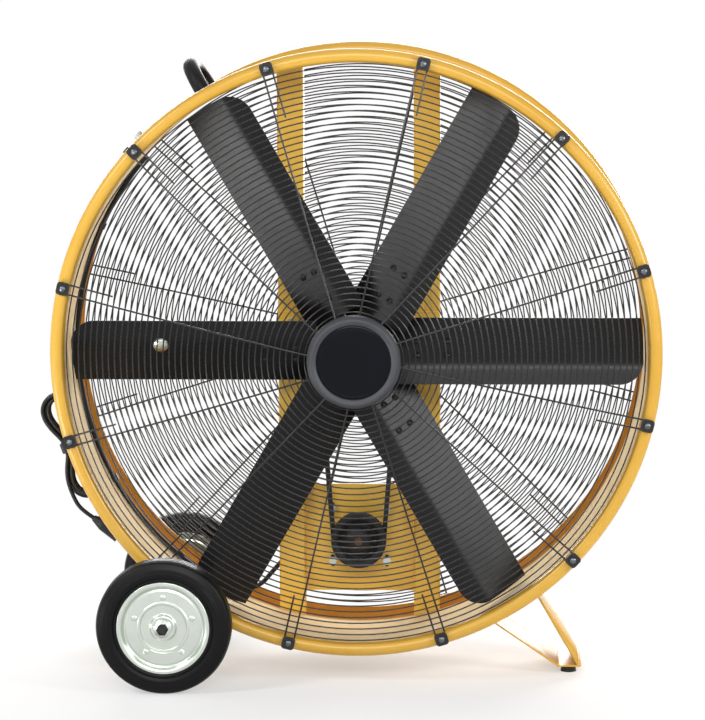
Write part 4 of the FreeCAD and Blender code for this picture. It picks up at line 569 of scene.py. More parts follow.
def round_axis_tree(name: str, finish: Finish) -> bpy.types.NodeTree:
    """A tree that repeats a shape evenly round an axis along Y.

    Args:
        name: The tree's name.
        finish: The material of the copies.

    Returns:
        The tree, with inputs Count, Step, Start, Centre X, Centre Y and Centre Z.
    """
    tree, given = new_tree(name, ("Count", "Step", "Start", "Centre X", "Centre Y", "Centre Z"))
    dots = add(tree, "GeometryNodeMeshLine", {
        "Count": given.outputs["Count"], "Offset": (0.0, 0.0, 0.0)})
    number = add(tree, "GeometryNodeInputIndex").outputs[0]
    turn = add(tree, "ShaderNodeMath", {
        0: number, 1: given.outputs["Step"], 2: given.outputs["Start"]}, operation="MULTIPLY_ADD")
    back = add(tree, "ShaderNodeMath", {0: turn.outputs[0], 1: -1.0}, operation="MULTIPLY")
    spin = add(tree, "ShaderNodeCombineXYZ", {"Y": back.outputs[0]})
    copies = add(tree, "GeometryNodeInstanceOnPoints", {
        "Points": dots.outputs[0], "Instance": given.outputs["Geometry"],
        "Rotation": spin.outputs[0]})
    centre = add(tree, "ShaderNodeCombineXYZ", {
        axis: given.outputs[f"Centre {axis}"] for axis in ("X", "Y", "Z")})
    placed = add(tree, "GeometryNodeTransform", {
        "Geometry": copies.outputs[0], "Translation": centre.outputs[0]})
    close_tree(tree, placed.outputs[0], finish)
    return tree


def repeat_round(name: str, start: bpy.types.Mesh, finish: Finish, count: int, first: float,
                 centre: Vector) -> bpy.types.Object:
    """Repeat a mesh, built about the origin, evenly round an axis along Y.

    Args:
        name: The piece's name.
        start: The mesh at nought degrees, which points along +X.
        finish: The material.
        count: How many copies.
        first: Angle of the first copy in degrees, towards +Z.
        centre: The axis, in metres.

    Returns:
        The new piece.
    """
    tree = round_axis_tree(f"{name}_copies", finish)
    return solve(name, start, tree, {
        "Count": count, "Step": 2 * math.pi / count, "Start": math.radians(first),
        "Centre X": centre.x, "Centre Y": centre.y, "Centre Z": centre.z})


def round_line(name: str, kind: str, points: Sequence[Vector], radius: float,
               fineness: int) -> bpy.types.Curve:
    """A curve of one open spline with a round section and closed ends.

    Args:
        name: The curve's name.
        kind: The spline's type.
        points: Its points, in metres.
        radius: The section's radius, in metres.
        fineness: Blender's bevel resolution of the section.

    Returns:
        The curve.
    """
    curve = bpy.data.curves.new(name, "CURVE")
    curve.dimensions = "3D"
    curve.bevel_depth = radius
    curve.bevel_resolution = fineness
    curve.use_fill_caps = True
    line = curve.splines.new(kind)
    line.points.add(len(points) - 1)
    for spot, point in zip(line.points, points):
        spot.co = (*point, 1.0)
    return curve


def swept(name: str, points: Sequence[Vector], radius: float, fineness: int) -> bpy.types.Mesh:
    """Sweep a round wire along points.

    Args:
        name: The mesh's name.
        points: The wire's middle line, in metres.
        radius: The wire's radius, in metres.
        fineness: Blender's bevel resolution of the wire's section.

    Returns:
        The wire's mesh with closed ends.
    """
    curve = round_line(name, "POLY", points, radius, fineness)
    holder = new_object(f"{name}_line", curve)
    graph = bpy.context.evaluated_depsgraph_get()
    mesh = bpy.data.meshes.new_from_object(holder.evaluated_get(graph))
    bpy.data.objects.remove(holder)
    bpy.data.curves.remove(curve)
    mesh.name = name
    return mesh


@dataclass
class WireGuard:
    """One domed guard of rings and hairpin spokes; side is -1 at the front, 1 at the rear."""

    node: str
    side: int
    drum_half: float = 170.0
    seat_gap: float = 0.3
    weld_gap: float = 0.05
    ring_wire: float = 2.6
    spoke_wire: float = 3.4
    rings: int = 40
    first_ring: float = 90.0
    last_ring: float = 533.0
    dome: float = 58.0
    spokes: int = 12
    first_spoke: float = 16.8
    half_spread: float = 9.0
    spoke_tip: float = 62.0
    short_leg: float = 76.0
    bend: float = 25.0
    bolt_reach: float = 552.0
    edge_gap: float = 1.0
    dome_steps: int = 24
    bend_steps: int = 6
    crown_steps: int = 14
    ring_segments: int = 150
    ring_sides: int = 8
    spoke_fineness: int = 3

    def __post_init__(self) -> None:
        """Work out the dome from the guard's rise, and the bend on to the rim."""
        self.edge = self.last_ring + self.edge_gap
        self.sphere = (self.edge ** 2 + self.dome ** 2) / (2 * self.dome)
        self.slope = math.asin(self.edge / self.sphere)
        flat = self.drum_half + self.seat_gap + self.spoke_wire / 2
        start = flat + self.bend * (1 - math.cos(self.slope))
        self.base = start - self.sphere * math.cos(self.slope)
        self.foot = self.edge + self.bend * math.sin(self.slope)
        self.level = self.spoke_height(self.edge) - self.bend * (1 - math.cos(self.slope))

    def spoke_height(self, reach: float) -> float:
        """Height of a spoke's middle line above the drum's middle plane."""
        return self.base + math.sqrt(self.sphere ** 2 - self.half_spread ** 2 - reach ** 2)

    def leg(self, tip: float, offset: float) -> list[tuple[float, float, float]]:
        """One leg of a hairpin: along the dome, then round the bend on to the rim.

        Args:
            tip: The leg's free end, from the axis.
            offset: The leg's place beside the spoke's middle line.

        Returns:
            Points as (reach, height, offset), in millimetres.
        """
        span = self.edge - tip
        reaches = [tip + span * k / self.dome_steps for k in range(self.dome_steps + 1)]
        line = [(reach, self.spoke_height(reach), offset) for reach in reaches]
        for k in range(1, self.bend_steps + 1):
            turn = self.slope * (1 - k / self.bend_steps)
            height = self.level + self.bend * (1 - math.cos(turn))
            line.append((self.foot - self.bend * math.sin(turn), height, offset))
        return line

    def hairpin(self) -> list[Vector]:
        """Points of one spoke that points along +X.

        Returns:
            The middle line, in metres, from the long leg's tip to the short leg's.
        """
        half = self.half_spread
        crown = [math.pi * k / self.crown_steps for k in range(self.crown_steps + 1)]
        line = self.leg(self.spoke_tip, half)
        line += [(self.bolt_reach + half * math.sin(t), self.level, half * math.cos(t))
                 for t in crown]
        line += reversed(self.leg(self.edge - self.short_leg, -half))
        return [Vector((reach, self.side * height, offset)) * MM for reach, height, offset in line]

    def ring_tree(self) -> bpy.types.NodeTree:
        """A tree that lays rings on the inside of the dome.

        Returns:
            The tree, with inputs for the ring count, radii, wire and dome.
        """
        names = ("Rings", "First", "Pitch", "Wire", "Sphere", "Base", "Side", "Axis")
        tree, given = new_tree(f"{self.node}_rings", names)
        dots = add(tree, "GeometryNodeMeshLine", {
            "Count": given.outputs["Rings"], "Offset": (0.0, 0.0, 0.0)})
        number = add(tree, "GeometryNodeInputIndex").outputs[0]
        reach = add(tree, "ShaderNodeMath", {
            0: number, 1: given.outputs["Pitch"], 2: given.outputs["First"]},
            operation="MULTIPLY_ADD").outputs[0]
        sphere = given.outputs["Sphere"]
        squares = [add(tree, "ShaderNodeMath", {0: size, 1: size}, operation="MULTIPLY").outputs[0]
                   for size in (sphere, reach)]
        under = add(tree, "ShaderNodeMath", {
            0: squares[0], 1: squares[1]}, operation="SUBTRACT").outputs[0]
        root = add(tree, "ShaderNodeMath", {0: under}, operation="SQRT").outputs[0]
        height = add(tree, "ShaderNodeMath", {
            0: root, 1: given.outputs["Base"]}, operation="ADD").outputs[0]
        along = add(tree, "ShaderNodeMath", {
            0: height, 1: given.outputs["Side"]}, operation="MULTIPLY").outputs[0]
        place = add(tree, "ShaderNodeCombineXYZ", {"Y": along, "Z": given.outputs["Axis"]}).outputs[0]
        spread = add(tree, "GeometryNodeSetPosition", {
            "Geometry": dots.outputs[0], "Position": place})
        circle = add(tree, "GeometryNodeCurvePrimitiveCircle", {
            "Resolution": self.ring_segments, "Radius": 1.0})
        size = add(tree, "ShaderNodeCombineXYZ", {"X": reach, "Y": reach, "Z": 1.0}).outputs[0]
        hoops = add(tree, "GeometryNodeInstanceOnPoints", {
            "Points": spread.outputs[0], "Instance": circle.outputs[0],
            "Rotation": (math.pi / 2, 0.0, 0.0), "Scale": size})
        lines = add(tree, "GeometryNodeRealizeInstances", {0: hoops.outputs[0]})
        section = add(tree, "GeometryNodeCurvePrimitiveCircle", {
            "Resolution": self.ring_sides, "Radius": given.outputs["Wire"]})
        wires = add(tree, "GeometryNodeCurveToMesh", {
            "Curve": lines.outputs[0], "Profile Curve": section.outputs[0]})
        close_tree(tree, wires.outputs[0], BLACK_WIRE)
        return tree

    def build(self) -> None:
        """Make the rings and the spokes."""
        drop = (self.spoke_wire + self.ring_wire) / 2 + self.weld_gap
        pitch = (self.last_ring - self.first_ring) / (self.rings - 1)
        rings = solve(f"{self.node}_rings", bpy.data.meshes.new("no_geometry"), self.ring_tree(), {
            "Rings": self.rings, "First": self.first_ring * MM, "Pitch": pitch * MM,
            "Wire": self.ring_wire / 2 * MM, "Sphere": (self.sphere - drop) * MM,
            "Base": self.base * MM, "Side": self.side, "Axis": AXIS_HEIGHT * MM})
        stand_for(rings, [self.node])
        wire = swept(f"{self.node}_hairpin", self.hairpin(), self.spoke_wire / 2 * MM,
                     self.spoke_fineness)
        spokes = repeat_round(f"{self.node}_spokes", wire, BLACK_WIRE, self.spokes, self.first_spoke,
                              DRUM_AXIS)
        stand_for(spokes, [self.node])


@dataclass
class Drum:
    """The rolled steel drum and its tubular rims."""

    bore: float = 539.0
    wall: float = 1.5
    rim_tube: float = 26.0
    depth: float = 340.0
    segments: int = 288
    tube_sides: int = 28

    def looks_inwards(self, face: bpy.types.MeshPolygon) -> bool:
        """Whether a face of the wall looks at the drum's axis."""
        outwards = face.center - Vector((0, face.center.y, DRUM_AXIS.z))
        return outwards.dot(face.normal) < -self.bore / 2 * MM

    def build(self) -> None:
        """Turn the wall and the two rims."""
        low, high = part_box("drum_shell")
        half = (high.y - low.y) / 2 / MM
        outside = self.bore + self.wall
        section = ((self.bore, -half), (outside, -half), (outside, half), (self.bore, half))
        wall = lathe("drum_wall", section, DRUM_AXIS, self.segments)
        stand_for(wall, ["drum_shell"], YELLOW_POWDER)
        # The inner faces take the paint with a painted reflection at the front and painted shade
        # behind.
        wall.data.materials.append(WALL_PAINTED_REFLECTION_AND_SHADE.material())
        for face in wall.data.polygons:
            if self.looks_inwards(face):
                face.material_index = 1
        tube = self.rim_tube / 2
        turns = [2 * math.pi * k / self.tube_sides for k in range(self.tube_sides)]
        ring = [(self.bore + tube + tube * math.cos(t), tube * math.sin(t)) for t in turns]
        for node, side in (("front_rim", -1), ("rear_rim", 1)):
            middle = DRUM_AXIS + Vector((0, side * (self.depth / 2 - tube), 0)) * MM
            stand_for(lathe(f"{node}_tube", ring, middle, self.segments), [node], YELLOW_POWDER)


@dataclass
class Blades:
    """The folded sheet blades, each with a shallow leading strip and a steeper main face."""

    count: int = 6
    root: float = 74.0
    sweep: float = 533.0
    width: float = 118.0
    lead: float = 35.0
    lead_pitch: float = 10.0
    pitch: float = 30.0
    front: float = 112.0
    sheet: float = 2.3
    lead_corner: float = 45.0
    trail_corner: float = 4.0
    fold_half: float = 8.0
    main_start: float = -10.0
    main_steps: int = 5
    fold_steps: int = 4
    rows: int = 26

    def depth(self, offset: float) -> float:
        """Place of the front face along the axis, with a soft fold between the strips.

        Args:
            offset: Place across the blade, from its leading to its trailing edge.

        Returns:
            The place along Y in millimetres.
        """
        flat = math.tan(math.radians(self.lead_pitch))
        steep = math.tan(math.radians(self.pitch))
        past = offset + self.width / 2 - self.lead
        line = -self.front + (self.lead + past) * flat
        if past <= -self.fold_half:
            return line
        if past >= self.fold_half:
            return line + past * (steep - flat)
        return line + (steep - flat) * (past + self.fold_half) ** 2 / (4 * self.fold_half)

    def tip(self, offset: float) -> float:
        """Reach of the rounded tip.

        Args:
            offset: Place across the blade.

        Returns:
            The distance from the axis along the blade, in millimetres.
        """
        reach = math.sqrt(self.sweep ** 2 - offset ** 2)
        corner = self.lead_corner if offset < 0 else self.trail_corner
        inside = abs(offset) - (self.width / 2 - corner)
        if inside <= 0:
            return reach
        return min(reach, self.sweep - corner + math.sqrt(max(0.0, corner ** 2 - inside ** 2)))

    def offsets(self) -> list[float]:
        """Places across the blade, close together at the fold and the rounded corners.

        Returns:
            Offsets from the leading to the trailing edge.
        """
        half, crease = self.width / 2, self.lead - self.width / 2
        corner = [-half + self.lead_corner * (1 - math.cos(math.radians(turn)))
                  for turn in range(0, 91, 10)]
        fold = [crease + self.fold_half * k / self.fold_steps
                for k in range(-self.fold_steps, self.fold_steps + 1)]
        span = half - self.trail_corner - self.main_start
        main = [self.main_start + span * k / self.main_steps for k in range(self.main_steps + 1)]
        end = [half - self.trail_corner * (1 - math.sin(math.radians(turn)))
               for turn in range(0, 91, 30)]
        return sorted({round(value, 3) for value in corner + fold + main + end})

    def build(self) -> None:
        """Form one sheet and repeat it round the hub."""
        shape = bmesh.new()
        sides = []
        for thick in (0.0, self.sheet):
            columns = []
            for offset in self.offsets():
                reach = self.tip(offset)
                along = self.depth(offset) + thick
                span = reach - self.root
                steps = [self.root + span * k / self.rows for k in range(self.rows + 1)]
                spots = [Vector((step, along, offset)) * MM for step in steps]
                columns.append([shape.verts.new(spot) for spot in spots])
            sides.append(columns)
        for columns in sides:
            for first, second in zip(columns, columns[1:]):
                for k in range(self.rows):
                    shape.faces.new((first[k], first[k + 1], second[k + 1], second[k]))
        front, rear = sides
        for near, far in ((front[0], rear[0]), (front[-1], rear[-1]),
                          ([column[0] for column in front], [column[0] for column in rear]),
                          ([column[-1] for column in front], [column[-1] for column in rear])):
            for k in range(len(near) - 1):
                shape.faces.new((near[k], near[k + 1], far[k + 1], far[k]))
        bmesh.ops.recalc_face_normals(shape, faces=shape.faces)
        blades = repeat_round("rotor_blades", mesh_of("folded_blade", shape), BLACK_ENAMEL,
                              self.count, first=0.0, centre=DRUM_AXIS)
        stand_for(blades, [f"blade_{k + 1}" for k in range(self.count)])


@dataclass
class CentreCap:
    """The raised cap in the middle of the front guard and the plain disc at the rear."""

    radius: float = 86.0
    recess: float = 67.5
    rise: float = 20.0
    floor: float = 12.0
    face_gap: float = 0.3
    rear_rise: float = 8.0
    segments: int = 144

    def bezel_corners(self) -> list[Corner]:
        """The bezel: its wall, its rounded rim and the step down to the face.

        Returns:
            Corners as (radius, place along the axis).
        """
        return [(0, 0), (self.radius - 4, 0), (self.radius, -4, 1.5), (self.radius - 1.2, -13, 6),
                (self.radius - 7, -self.rise, 3), (self.radius - 11, -self.rise, 2),
                (self.recess + 1.5, -self.rise + 3, 2), (self.recess, -self.floor), (0, -self.floor)]

    def face_corners(self) -> list[Corner]:
        """The face: a bevelled edge, a fine groove and a slightly crowned middle.

        Returns:
            Corners as (radius, place along the axis).
        """
        edge, seat = self.recess - self.face_gap, -self.floor
        return [(0, seat), (edge, seat), (edge, seat - 2.6, 0.6), (edge - 3.5, seat - 3.2, 1),
                (edge - 5, seat - 2.9, 0.5), (edge - 8, seat - 3.3, 2), (0, seat - 4)]

    def rear_corners(self) -> list[Corner]:
        """The rear disc: a rounded edge and one pressed groove.

        Returns:
            Corners as (radius, place along the axis).
        """
        top = self.rear_rise
        return [(0, 0), (self.radius - 4, 0), (self.radius, 3.2, 1), (self.radius - 3, top, 2.5),
                (self.radius - 14, top, 1), (self.radius - 17, top - 1.4, 1),
                (self.radius - 20, top, 1), (0, top)]

    def build(self) -> None:
        """Turn the bezel, its face and the rear disc."""
        seat = DRUM_AXIS + Vector((0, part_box("cap_bezel")[1].y, 0))
        bezel = lathe("cap_bezel_ring", self.bezel_corners(), seat, self.segments)
        stand_for(bezel, ["cap_bezel"], CAP_ABS)
        face = lathe("cap_face", self.face_corners(), seat, self.segments)
        stand_for(face, ["cap_disc"], CAP_GLOSS)
        back = DRUM_AXIS + Vector((0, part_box("rear_centre_disc")[0].y, 0))
        rear = lathe("rear_cap", self.rear_corners(), back, self.segments)
        stand_for(rear, ["rear_centre_disc"], CAP_ABS)


@dataclass
class Wheel:
    """A wheel with a solid tyre and two pressed discs; side is -1 at the front, 1 at the rear."""

    end: str
    side: int
    reach: float = -351.0
    plane: float = 240.0
    rim: float = 87.0
    half: float = 30.0
    tread: float = 125.0
    groove_floor: float = 122.6
    hub_hole: float = 10.05
    sleeve: float = 15.0
    sleeve_half: float = 27.0
    sleeve_round: float = 0.8
    rivets: int = 5
    rivet_circle: float = 56.0
    rivet_seat: float = 16.8
    rivet_head: float = 5.2
    rivet_rise: float = 2.6
    first_rivet: float = 90.0
    tyre_segments: int = 144
    disc_segments: int = 128
    sleeve_segments: int = 48
    rivet_segments: int = 18

    def tyre_corners(self) -> list[Corner]:
        """The tyre's outline with its side bands and tread grooves.

        Returns:
            Corners as (radius, place along the axle).
        """
        side = [(self.rim, 26.0), (self.rim + 3.0, 27.0, 0.8), (self.rim + 5.0, 25.6, 0.8),
                (self.rim + 7.0, 28.6, 1.0), (self.rim + 12.0, self.half, 2.0),
                (self.rim + 17.0, self.half, 1.0), (self.rim + 18.0, 29.0, 0.4),
                (self.rim + 20.5, 29.0, 0.6), (self.rim + 21.5, 28.0, 0.4),
                (self.rim + 24.0, 27.6, 0.6), (self.tread - 3.0, 23.0, 6.0)]
        tread = [(self.tread, 14.0, 1.0), (self.tread, 9.0), (self.groove_floor, 8.4),
                 (self.groove_floor, 6.2), (self.tread, 5.6)]
        upper = side + tread
        return upper + [(corner[0], -corner[1], *corner[2:]) for corner in reversed(upper)]

    def disc_corners(self, way: int) -> list[Corner]:
        """One pressed disc: rolled lip, groove, stepped web and boss.

        Args:
            way: 1 for the disc on the +Y side of the wheel, -1 for the other.

        Returns:
            Corners as (radius, place along the axle).
        """
        edge = self.rim - 0.3
        boss = [(15.2, 23.0), (22.0, 23.0, 3.0), (25.5, 17.6, 3.0)]
        web = [(42.0, 17.0, 1.0), (43.5, 18.2, 0.8), (47.0, 18.2, 0.8), (48.5, 17.0, 0.8),
               (68.0, 17.0, 2.0)]
        lip = [(73.0, 15.4, 2.0), (77.5, 24.6, 3.0), (80.5, 26.0, 1.5), (edge - 1.5, 26.0, 1.2),
               (edge, 24.5, 0.5), (edge, 2.0)]
        inner = [(edge - 2.0, 2.0), (edge - 2.0, 23.0), (79.5, 23.6), (75.0, 13.4), (25.0, 15.0),
                 (21.0, 21.0), (15.2, 21.0)]
        return [(corner[0], way * corner[1], *corner[2:]) for corner in boss + web + lip + inner]

    def rivet(self) -> bpy.types.Mesh:
        """One domed rivet head on the outer web, at nought degrees.

        Returns:
            The head's mesh, about the wheel's centre.
        """
        corners = ((0, 0), (self.rivet_head, 0), (self.rivet_head, 0.7, 0.3), (3.6, 2.0, 1.5),
                   (0, self.rivet_rise))
        dome = lathe(f"{self.end}_rivet", corners, Vector((0, 0, 0)), self.rivet_segments)
        mesh = dome.data
        bpy.data.objects.remove(dome)
        turn = Matrix.Rotation(math.pi, 4, "Z") if self.side < 0 else Matrix.Identity(4)
        place = Matrix.Translation(Vector((self.rivet_circle, self.side * self.rivet_seat, 0)) * MM)
        mesh.transform(place @ turn)
        return mesh

    def build(self) -> None:
        """Turn the tyre and the discs, and set the rivets."""
        centre = Vector((self.reach, self.side * self.plane, self.tread)) * MM
        tyre = lathe(f"{self.end}_tyre_rubber", self.tyre_corners(), centre, self.tyre_segments)
        stand_for(tyre, [f"{self.end}_tyre"], TYRE_RUBBER)
        hub = f"{self.end}_wheel_hub"
        for way, word in ((1, "a"), (-1, "b")):
            disc = lathe(f"{self.end}_disc_{word}", self.disc_corners(way), centre,
                         self.disc_segments)
            stand_for(disc, [hub], ZINC)
        end = self.sleeve_half
        section = ((self.hub_hole, -end), (self.sleeve, -end, self.sleeve_round),
                   (self.sleeve, end, self.sleeve_round), (self.hub_hole, end))
        sleeve = lathe(f"{self.end}_hub_sleeve", section, centre, self.sleeve_segments)
        stand_for(sleeve, [hub], STEEL)
        heads = repeat_round(f"{self.end}_rivets", self.rivet(), ZINC, self.rivets, self.first_rivet,
                             centre)
        stand_for(heads, [hub])


@dataclass
class Motor:
    """The motor behind its plate, with cooling ribs along its shell."""

    drop: float = 374.0
    radius: float = 72.0
    bore: float = 8.1
    bore_depth: float = 24.0
    ribs: int = 40
    rib_rise: float = 4.0
    rib_root: float = 1.0
    rib_width: float = 2.6
    tip_share: float = 0.6
    rib_start: float = 10.5
    bare_ends: float = 31.0
    segments: int = 96

    def shell_corners(self, length: float) -> list[Corner]:
        """The shell: front collar, barrel, rear bell and the shaft's blind bore.

        Args:
            length: The shell's length, in millimetres.

        Returns:
            Corners as (radius, place along the shaft).
        """
        collar, barrel = self.radius - 6, self.radius - self.rib_rise
        front = [(self.bore, 0), (collar, 0), (collar, 10), (barrel, self.rib_start)]
        bell = [(barrel, length - 20), (self.radius - 1, length - 19.5, 1),
                (self.radius - 2, length - 12, 2), (self.radius - 9, length, 8)]
        recess = [(24, length, 1), (22, length - 2, 1), (0, length - 2)]
        return front + bell + recess + [(0, self.bore_depth), (self.bore, self.bore_depth)]

    def rib_mesh(self, length: float) -> bpy.types.Mesh:
        """One cooling rib that points along +X and narrows towards its tip.

        Args:
            length: The shell's length, in millimetres.

        Returns:
            The rib's mesh, about the shaft.
        """
        barrel, long = self.radius - self.rib_rise, length - self.bare_ends
        shape = bmesh.new()
        bmesh.ops.create_cube(shape, size=1.0)
        for corner in shape.verts:
            at_tip = corner.co.x > 0
            reach = barrel + (self.rib_rise if at_tip else -self.rib_root)
            width = self.rib_width * (self.tip_share if at_tip else 1.0)
            along = self.rib_start + (corner.co.y + 0.5) * long
            corner.co = Vector((reach, along, corner.co.z * width)) * MM
        return mesh_of("motor_rib", shape)

    def build(self) -> None:
        """Turn the shell and set the ribs round it."""
        low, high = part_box("motor_shell")
        centre = Vector((0, low.y, AXIS_HEIGHT * MM - self.drop * MM))
        length = (high.y - low.y) / MM
        shell = lathe("motor_barrel", self.shell_corners(length), centre, self.segments)
        stand_for(shell, ["motor_shell"], MOTOR_ENAMEL)
        ribs = repeat_round("motor_ribs", self.rib_mesh(length), MOTOR_ENAMEL, self.ribs, first=0.0,
                            centre=centre)
        stand_for(ribs, ["motor_shell"])


@dataclass
class PowerCord:
    """The power cord: out of its gland, wound into a tied hank, and on to its plug.

    Its length is in metres.
    """

    diameter: float = 8.0
    angle: float = 199.5
    rise: float = 576.0
    half: float = 70.0
    bend: float = 24.0
    step: float = 10.4
    waist: float = 17.0
    layer: float = 8.65
    layers: int = 4
    runs: int = 3
    gland_angle: float = 219.997
    gland_reach: float = 37.5
    gland_lift: float = 552.8
    length: float = 2.90
    fineness: int = 4
    span_steps: int = 5
    straight: float = 27.0
    tail: tuple[tuple[float, float], ...] = ((22.0, 0.0), (46.0, 7.0), (66.0, 22.0))
    fold_part: float = 22.5
    tie_gap: float = 1.0
    tie_sheet: float = 2.0
    tie_half: float = 10.0
    tie_edge: float = 1.2
    tie_lip: float = 0.3
    tie_corner: float = 7.0
    tie_steps: int = 6

    def __post_init__(self) -> None:
        """Work out the curve of the drawn-in runs."""
        self.swing = 2 * math.atan(self.waist / self.half)
        self.curve = self.half / (2 * math.sin(self.swing))
        self.top = (self.layers - 1) / 2 * self.layer

    def on_drum(self, angle: float, spot: Vector) -> Vector:
        """A spot of the tangent frame at an angle of the drum.

        Args:
            angle: Place round the drum in degrees.
            spot: X along the wall, Y to the rear, Z out from the axis, in millimetres.

        Returns:
            The same spot in the object's frame, in millimetres.
        """
        turn = math.radians(angle)
        return Vector((spot.x * math.sin(turn) + spot.z * math.cos(turn), spot.y,
                       AXIS_HEIGHT - spot.x * math.cos(turn) + spot.z * math.sin(turn)))

    def run_point(self, run: int, along: float, inset: float) -> Vector:
        """A spot of one run in the hank's own frame.

        Args:
            run: The run's number, from the gland's end of the cord.
            along: Place along the hank, in millimetres.
            inset: How far the run is drawn in towards the hank's middle, in millimetres.

        Returns:
            The spot, in millimetres.
        """
        layer, place = divmod(run, self.runs)
        steps = place if layer % 2 else self.runs - 1 - place
        reach = self.bend + steps * self.step / 2
        side = -1 if run % 2 == 0 else 1
        return Vector((along, self.top - layer * self.layer, self.rise + side * (reach - inset)))

    def route(self) -> list[Vector]:
        """Control points of the whole cord.

        Returns:
            Points in the object's frame, in millimetres.
        """
        total = self.layers * self.runs
        near = self.half - self.curve * math.tan(self.swing / 2)
        deep = self.waist + self.curve * (1 / math.cos(self.swing) - 1)
        lead = [self.on_drum(self.gland_angle, Vector((reach, self.top, self.gland_lift)))
                for reach in (self.gland_reach, self.gland_reach + self.straight)]
        hank = [self.run_point(0, -self.half - self.diameter - self.straight, 0)]
        for run in range(total):
            way = 1 if run % 2 == 0 else -1
            hank += [self.run_point(run, -way * near, 0), self.run_point(run, 0, deep),
                     self.run_point(run, way * near, 0)]
            if run == total - 1:
                break
            start = self.run_point(run, way * self.half, 0)
            stop = self.run_point(run + 1, way * self.half, 0)
            middle, across = (start + stop) / 2, (stop - start) / 2
            up = Vector((way * across.length, 0, 0))
            for part in (1, 3, 5, 7):
                swing = math.radians(part * self.fold_part)
                corner = up * math.sin(swing) - across * math.cos(swing)
                hank.append(middle + corner / math.cos(math.radians(self.fold_part)))
        end = self.run_point(total - 1, -self.half - self.diameter, 0)
        hank += [end - Vector((back, 0, inwards)) for back, inwards in self.tail]
        return lead + [self.on_drum(self.angle, spot) for spot in hank]

    def build(self) -> None:
        points = [spot * MM for spot in self.route()]
        curve = round_line("power_cord", "NURBS", points, self.diameter / 2 * MM, self.fineness)
        curve.resolution_u = self.span_steps
        line = curve.splines[0]
        line.order_u = 3
        line.use_endpoint_u = True
        cord = new_object("power_cord", curve)
        stand_for(cord, ["cord_lead", "cord_hank", "cord_tail"], CORD_RUBBER)
        pieces = [frame["nodes"]["plug_prongs"], smooth_copy("plug_body"), self.tie()]

    def tie(self) -> bpy.types.Object:
        """The soft strap round the hank's waist.

        Returns:
            The strap, which stands for its solid.
        """
        around = self.diameter / 2 + self.tie_gap
        deep, wide = self.top + around, self.bend + self.step - self.waist + around
        half, inset = self.tie_half, self.tie_half - self.tie_edge
        section = ((-half, self.tie_lip), (-inset, self.tie_sheet), (inset, self.tie_sheet),
                   (half, self.tie_lip), (inset, 0.0), (-inset, 0.0))
        shape = bmesh.new()
        loops = []
        for along, lift in section:
            corners = [(y * (deep + lift), z * (wide + lift), self.tie_corner)
                       for y, z in ((-1, -1), (1, -1), (1, 1), (-1, 1))]
            spots = [self.on_drum(self.angle, Vector((along, across, self.rise + out)))
                     for across, out in rounded(corners, self.tie_steps)]
            loops.append([shape.verts.new(spot * MM) for spot in spots])
        bridge(shape, loops)
        bmesh.ops.recalc_face_normals(shape, faces=shape.faces)
        mesh = mesh_of("cord_strap", shape)
        smooth(mesh, STRAP_SHARP)
        return stand_for(new_object("cord_strap", mesh), ["cord_tie"], BLACK_NYLON)


@dataclass
class Solids:
    """The solids whose own shape is shown: curved ones get a smooth copy."""

    curved: tuple[str, ...] = (
        "handle", "fan_shaft", "fan_pulley", "motor_pulley", "motor_shaft", "v_belt", "spider_hub",
        "blade_rivets", "balance_weight", "bearing_housing", "bearings", "axle", "axle_spacers",
        "axle_bracket", "rubber_feet", "switch_box", "switch_knob", "motor_cable", "cable_clips",
        "cord_gland", "cord_hook", "guard_backplates", "clip_bolts", "cap_screws", "stand",
        "motor_flange", "left_channel", "right_channel")
    washer_face: float = 270.6

    def build(self) -> None:
        """Dress every solid by its slot and copy the curved ones."""
        for node, shown in frame["nodes"].items():
            shown.data.materials.clear()
            shown.data.materials.append(FINISH_OF_NODE[node].material())
            LOG.info("%s is dressed in %s", node, FINISH_OF_NODE[node].name)
        for node in self.curved:
            smooth_copy(node)
        self.axle_bolts()

    def axle_bolts(self) -> None:
        """Copy the axle bolts: blackened heads on plated washers."""
        bolts = smooth_copy("axle_bolts")
        bolts.data.materials.append(BLACK_OXIDE.material())
        for face in bolts.data.polygons:
            if abs(face.center.y) > self.washer_face * MM:
                face.material_index = 1


@dataclass(frozen=True)
class Lamp:
    """A soft lamp, in metres and watts, that points at the drum or in a way of its own."""

    name: str
    at: tuple[float, float, float]
    size: tuple[float, float]
    watts: float
    way: tuple[float, float, float] | None = None

    def hang(self) -> None:
        """Add the lamp, which the camera doesn't see."""
        data = bpy.data.lights.new(self.name, "AREA")
        data.energy = self.watts
        data.shape = "RECTANGLE"
        data.size, data.size_y = self.size
        lamp = new_object(self.name, data)
        lamp.location = self.at
        lamp.visible_camera = False
        aim = DRUM_AXIS - Vector(self.at) if self.way is None else Vector(self.way)
        lamp.rotation_euler = aim.to_track_quat("-Z", "Y").to_euler()


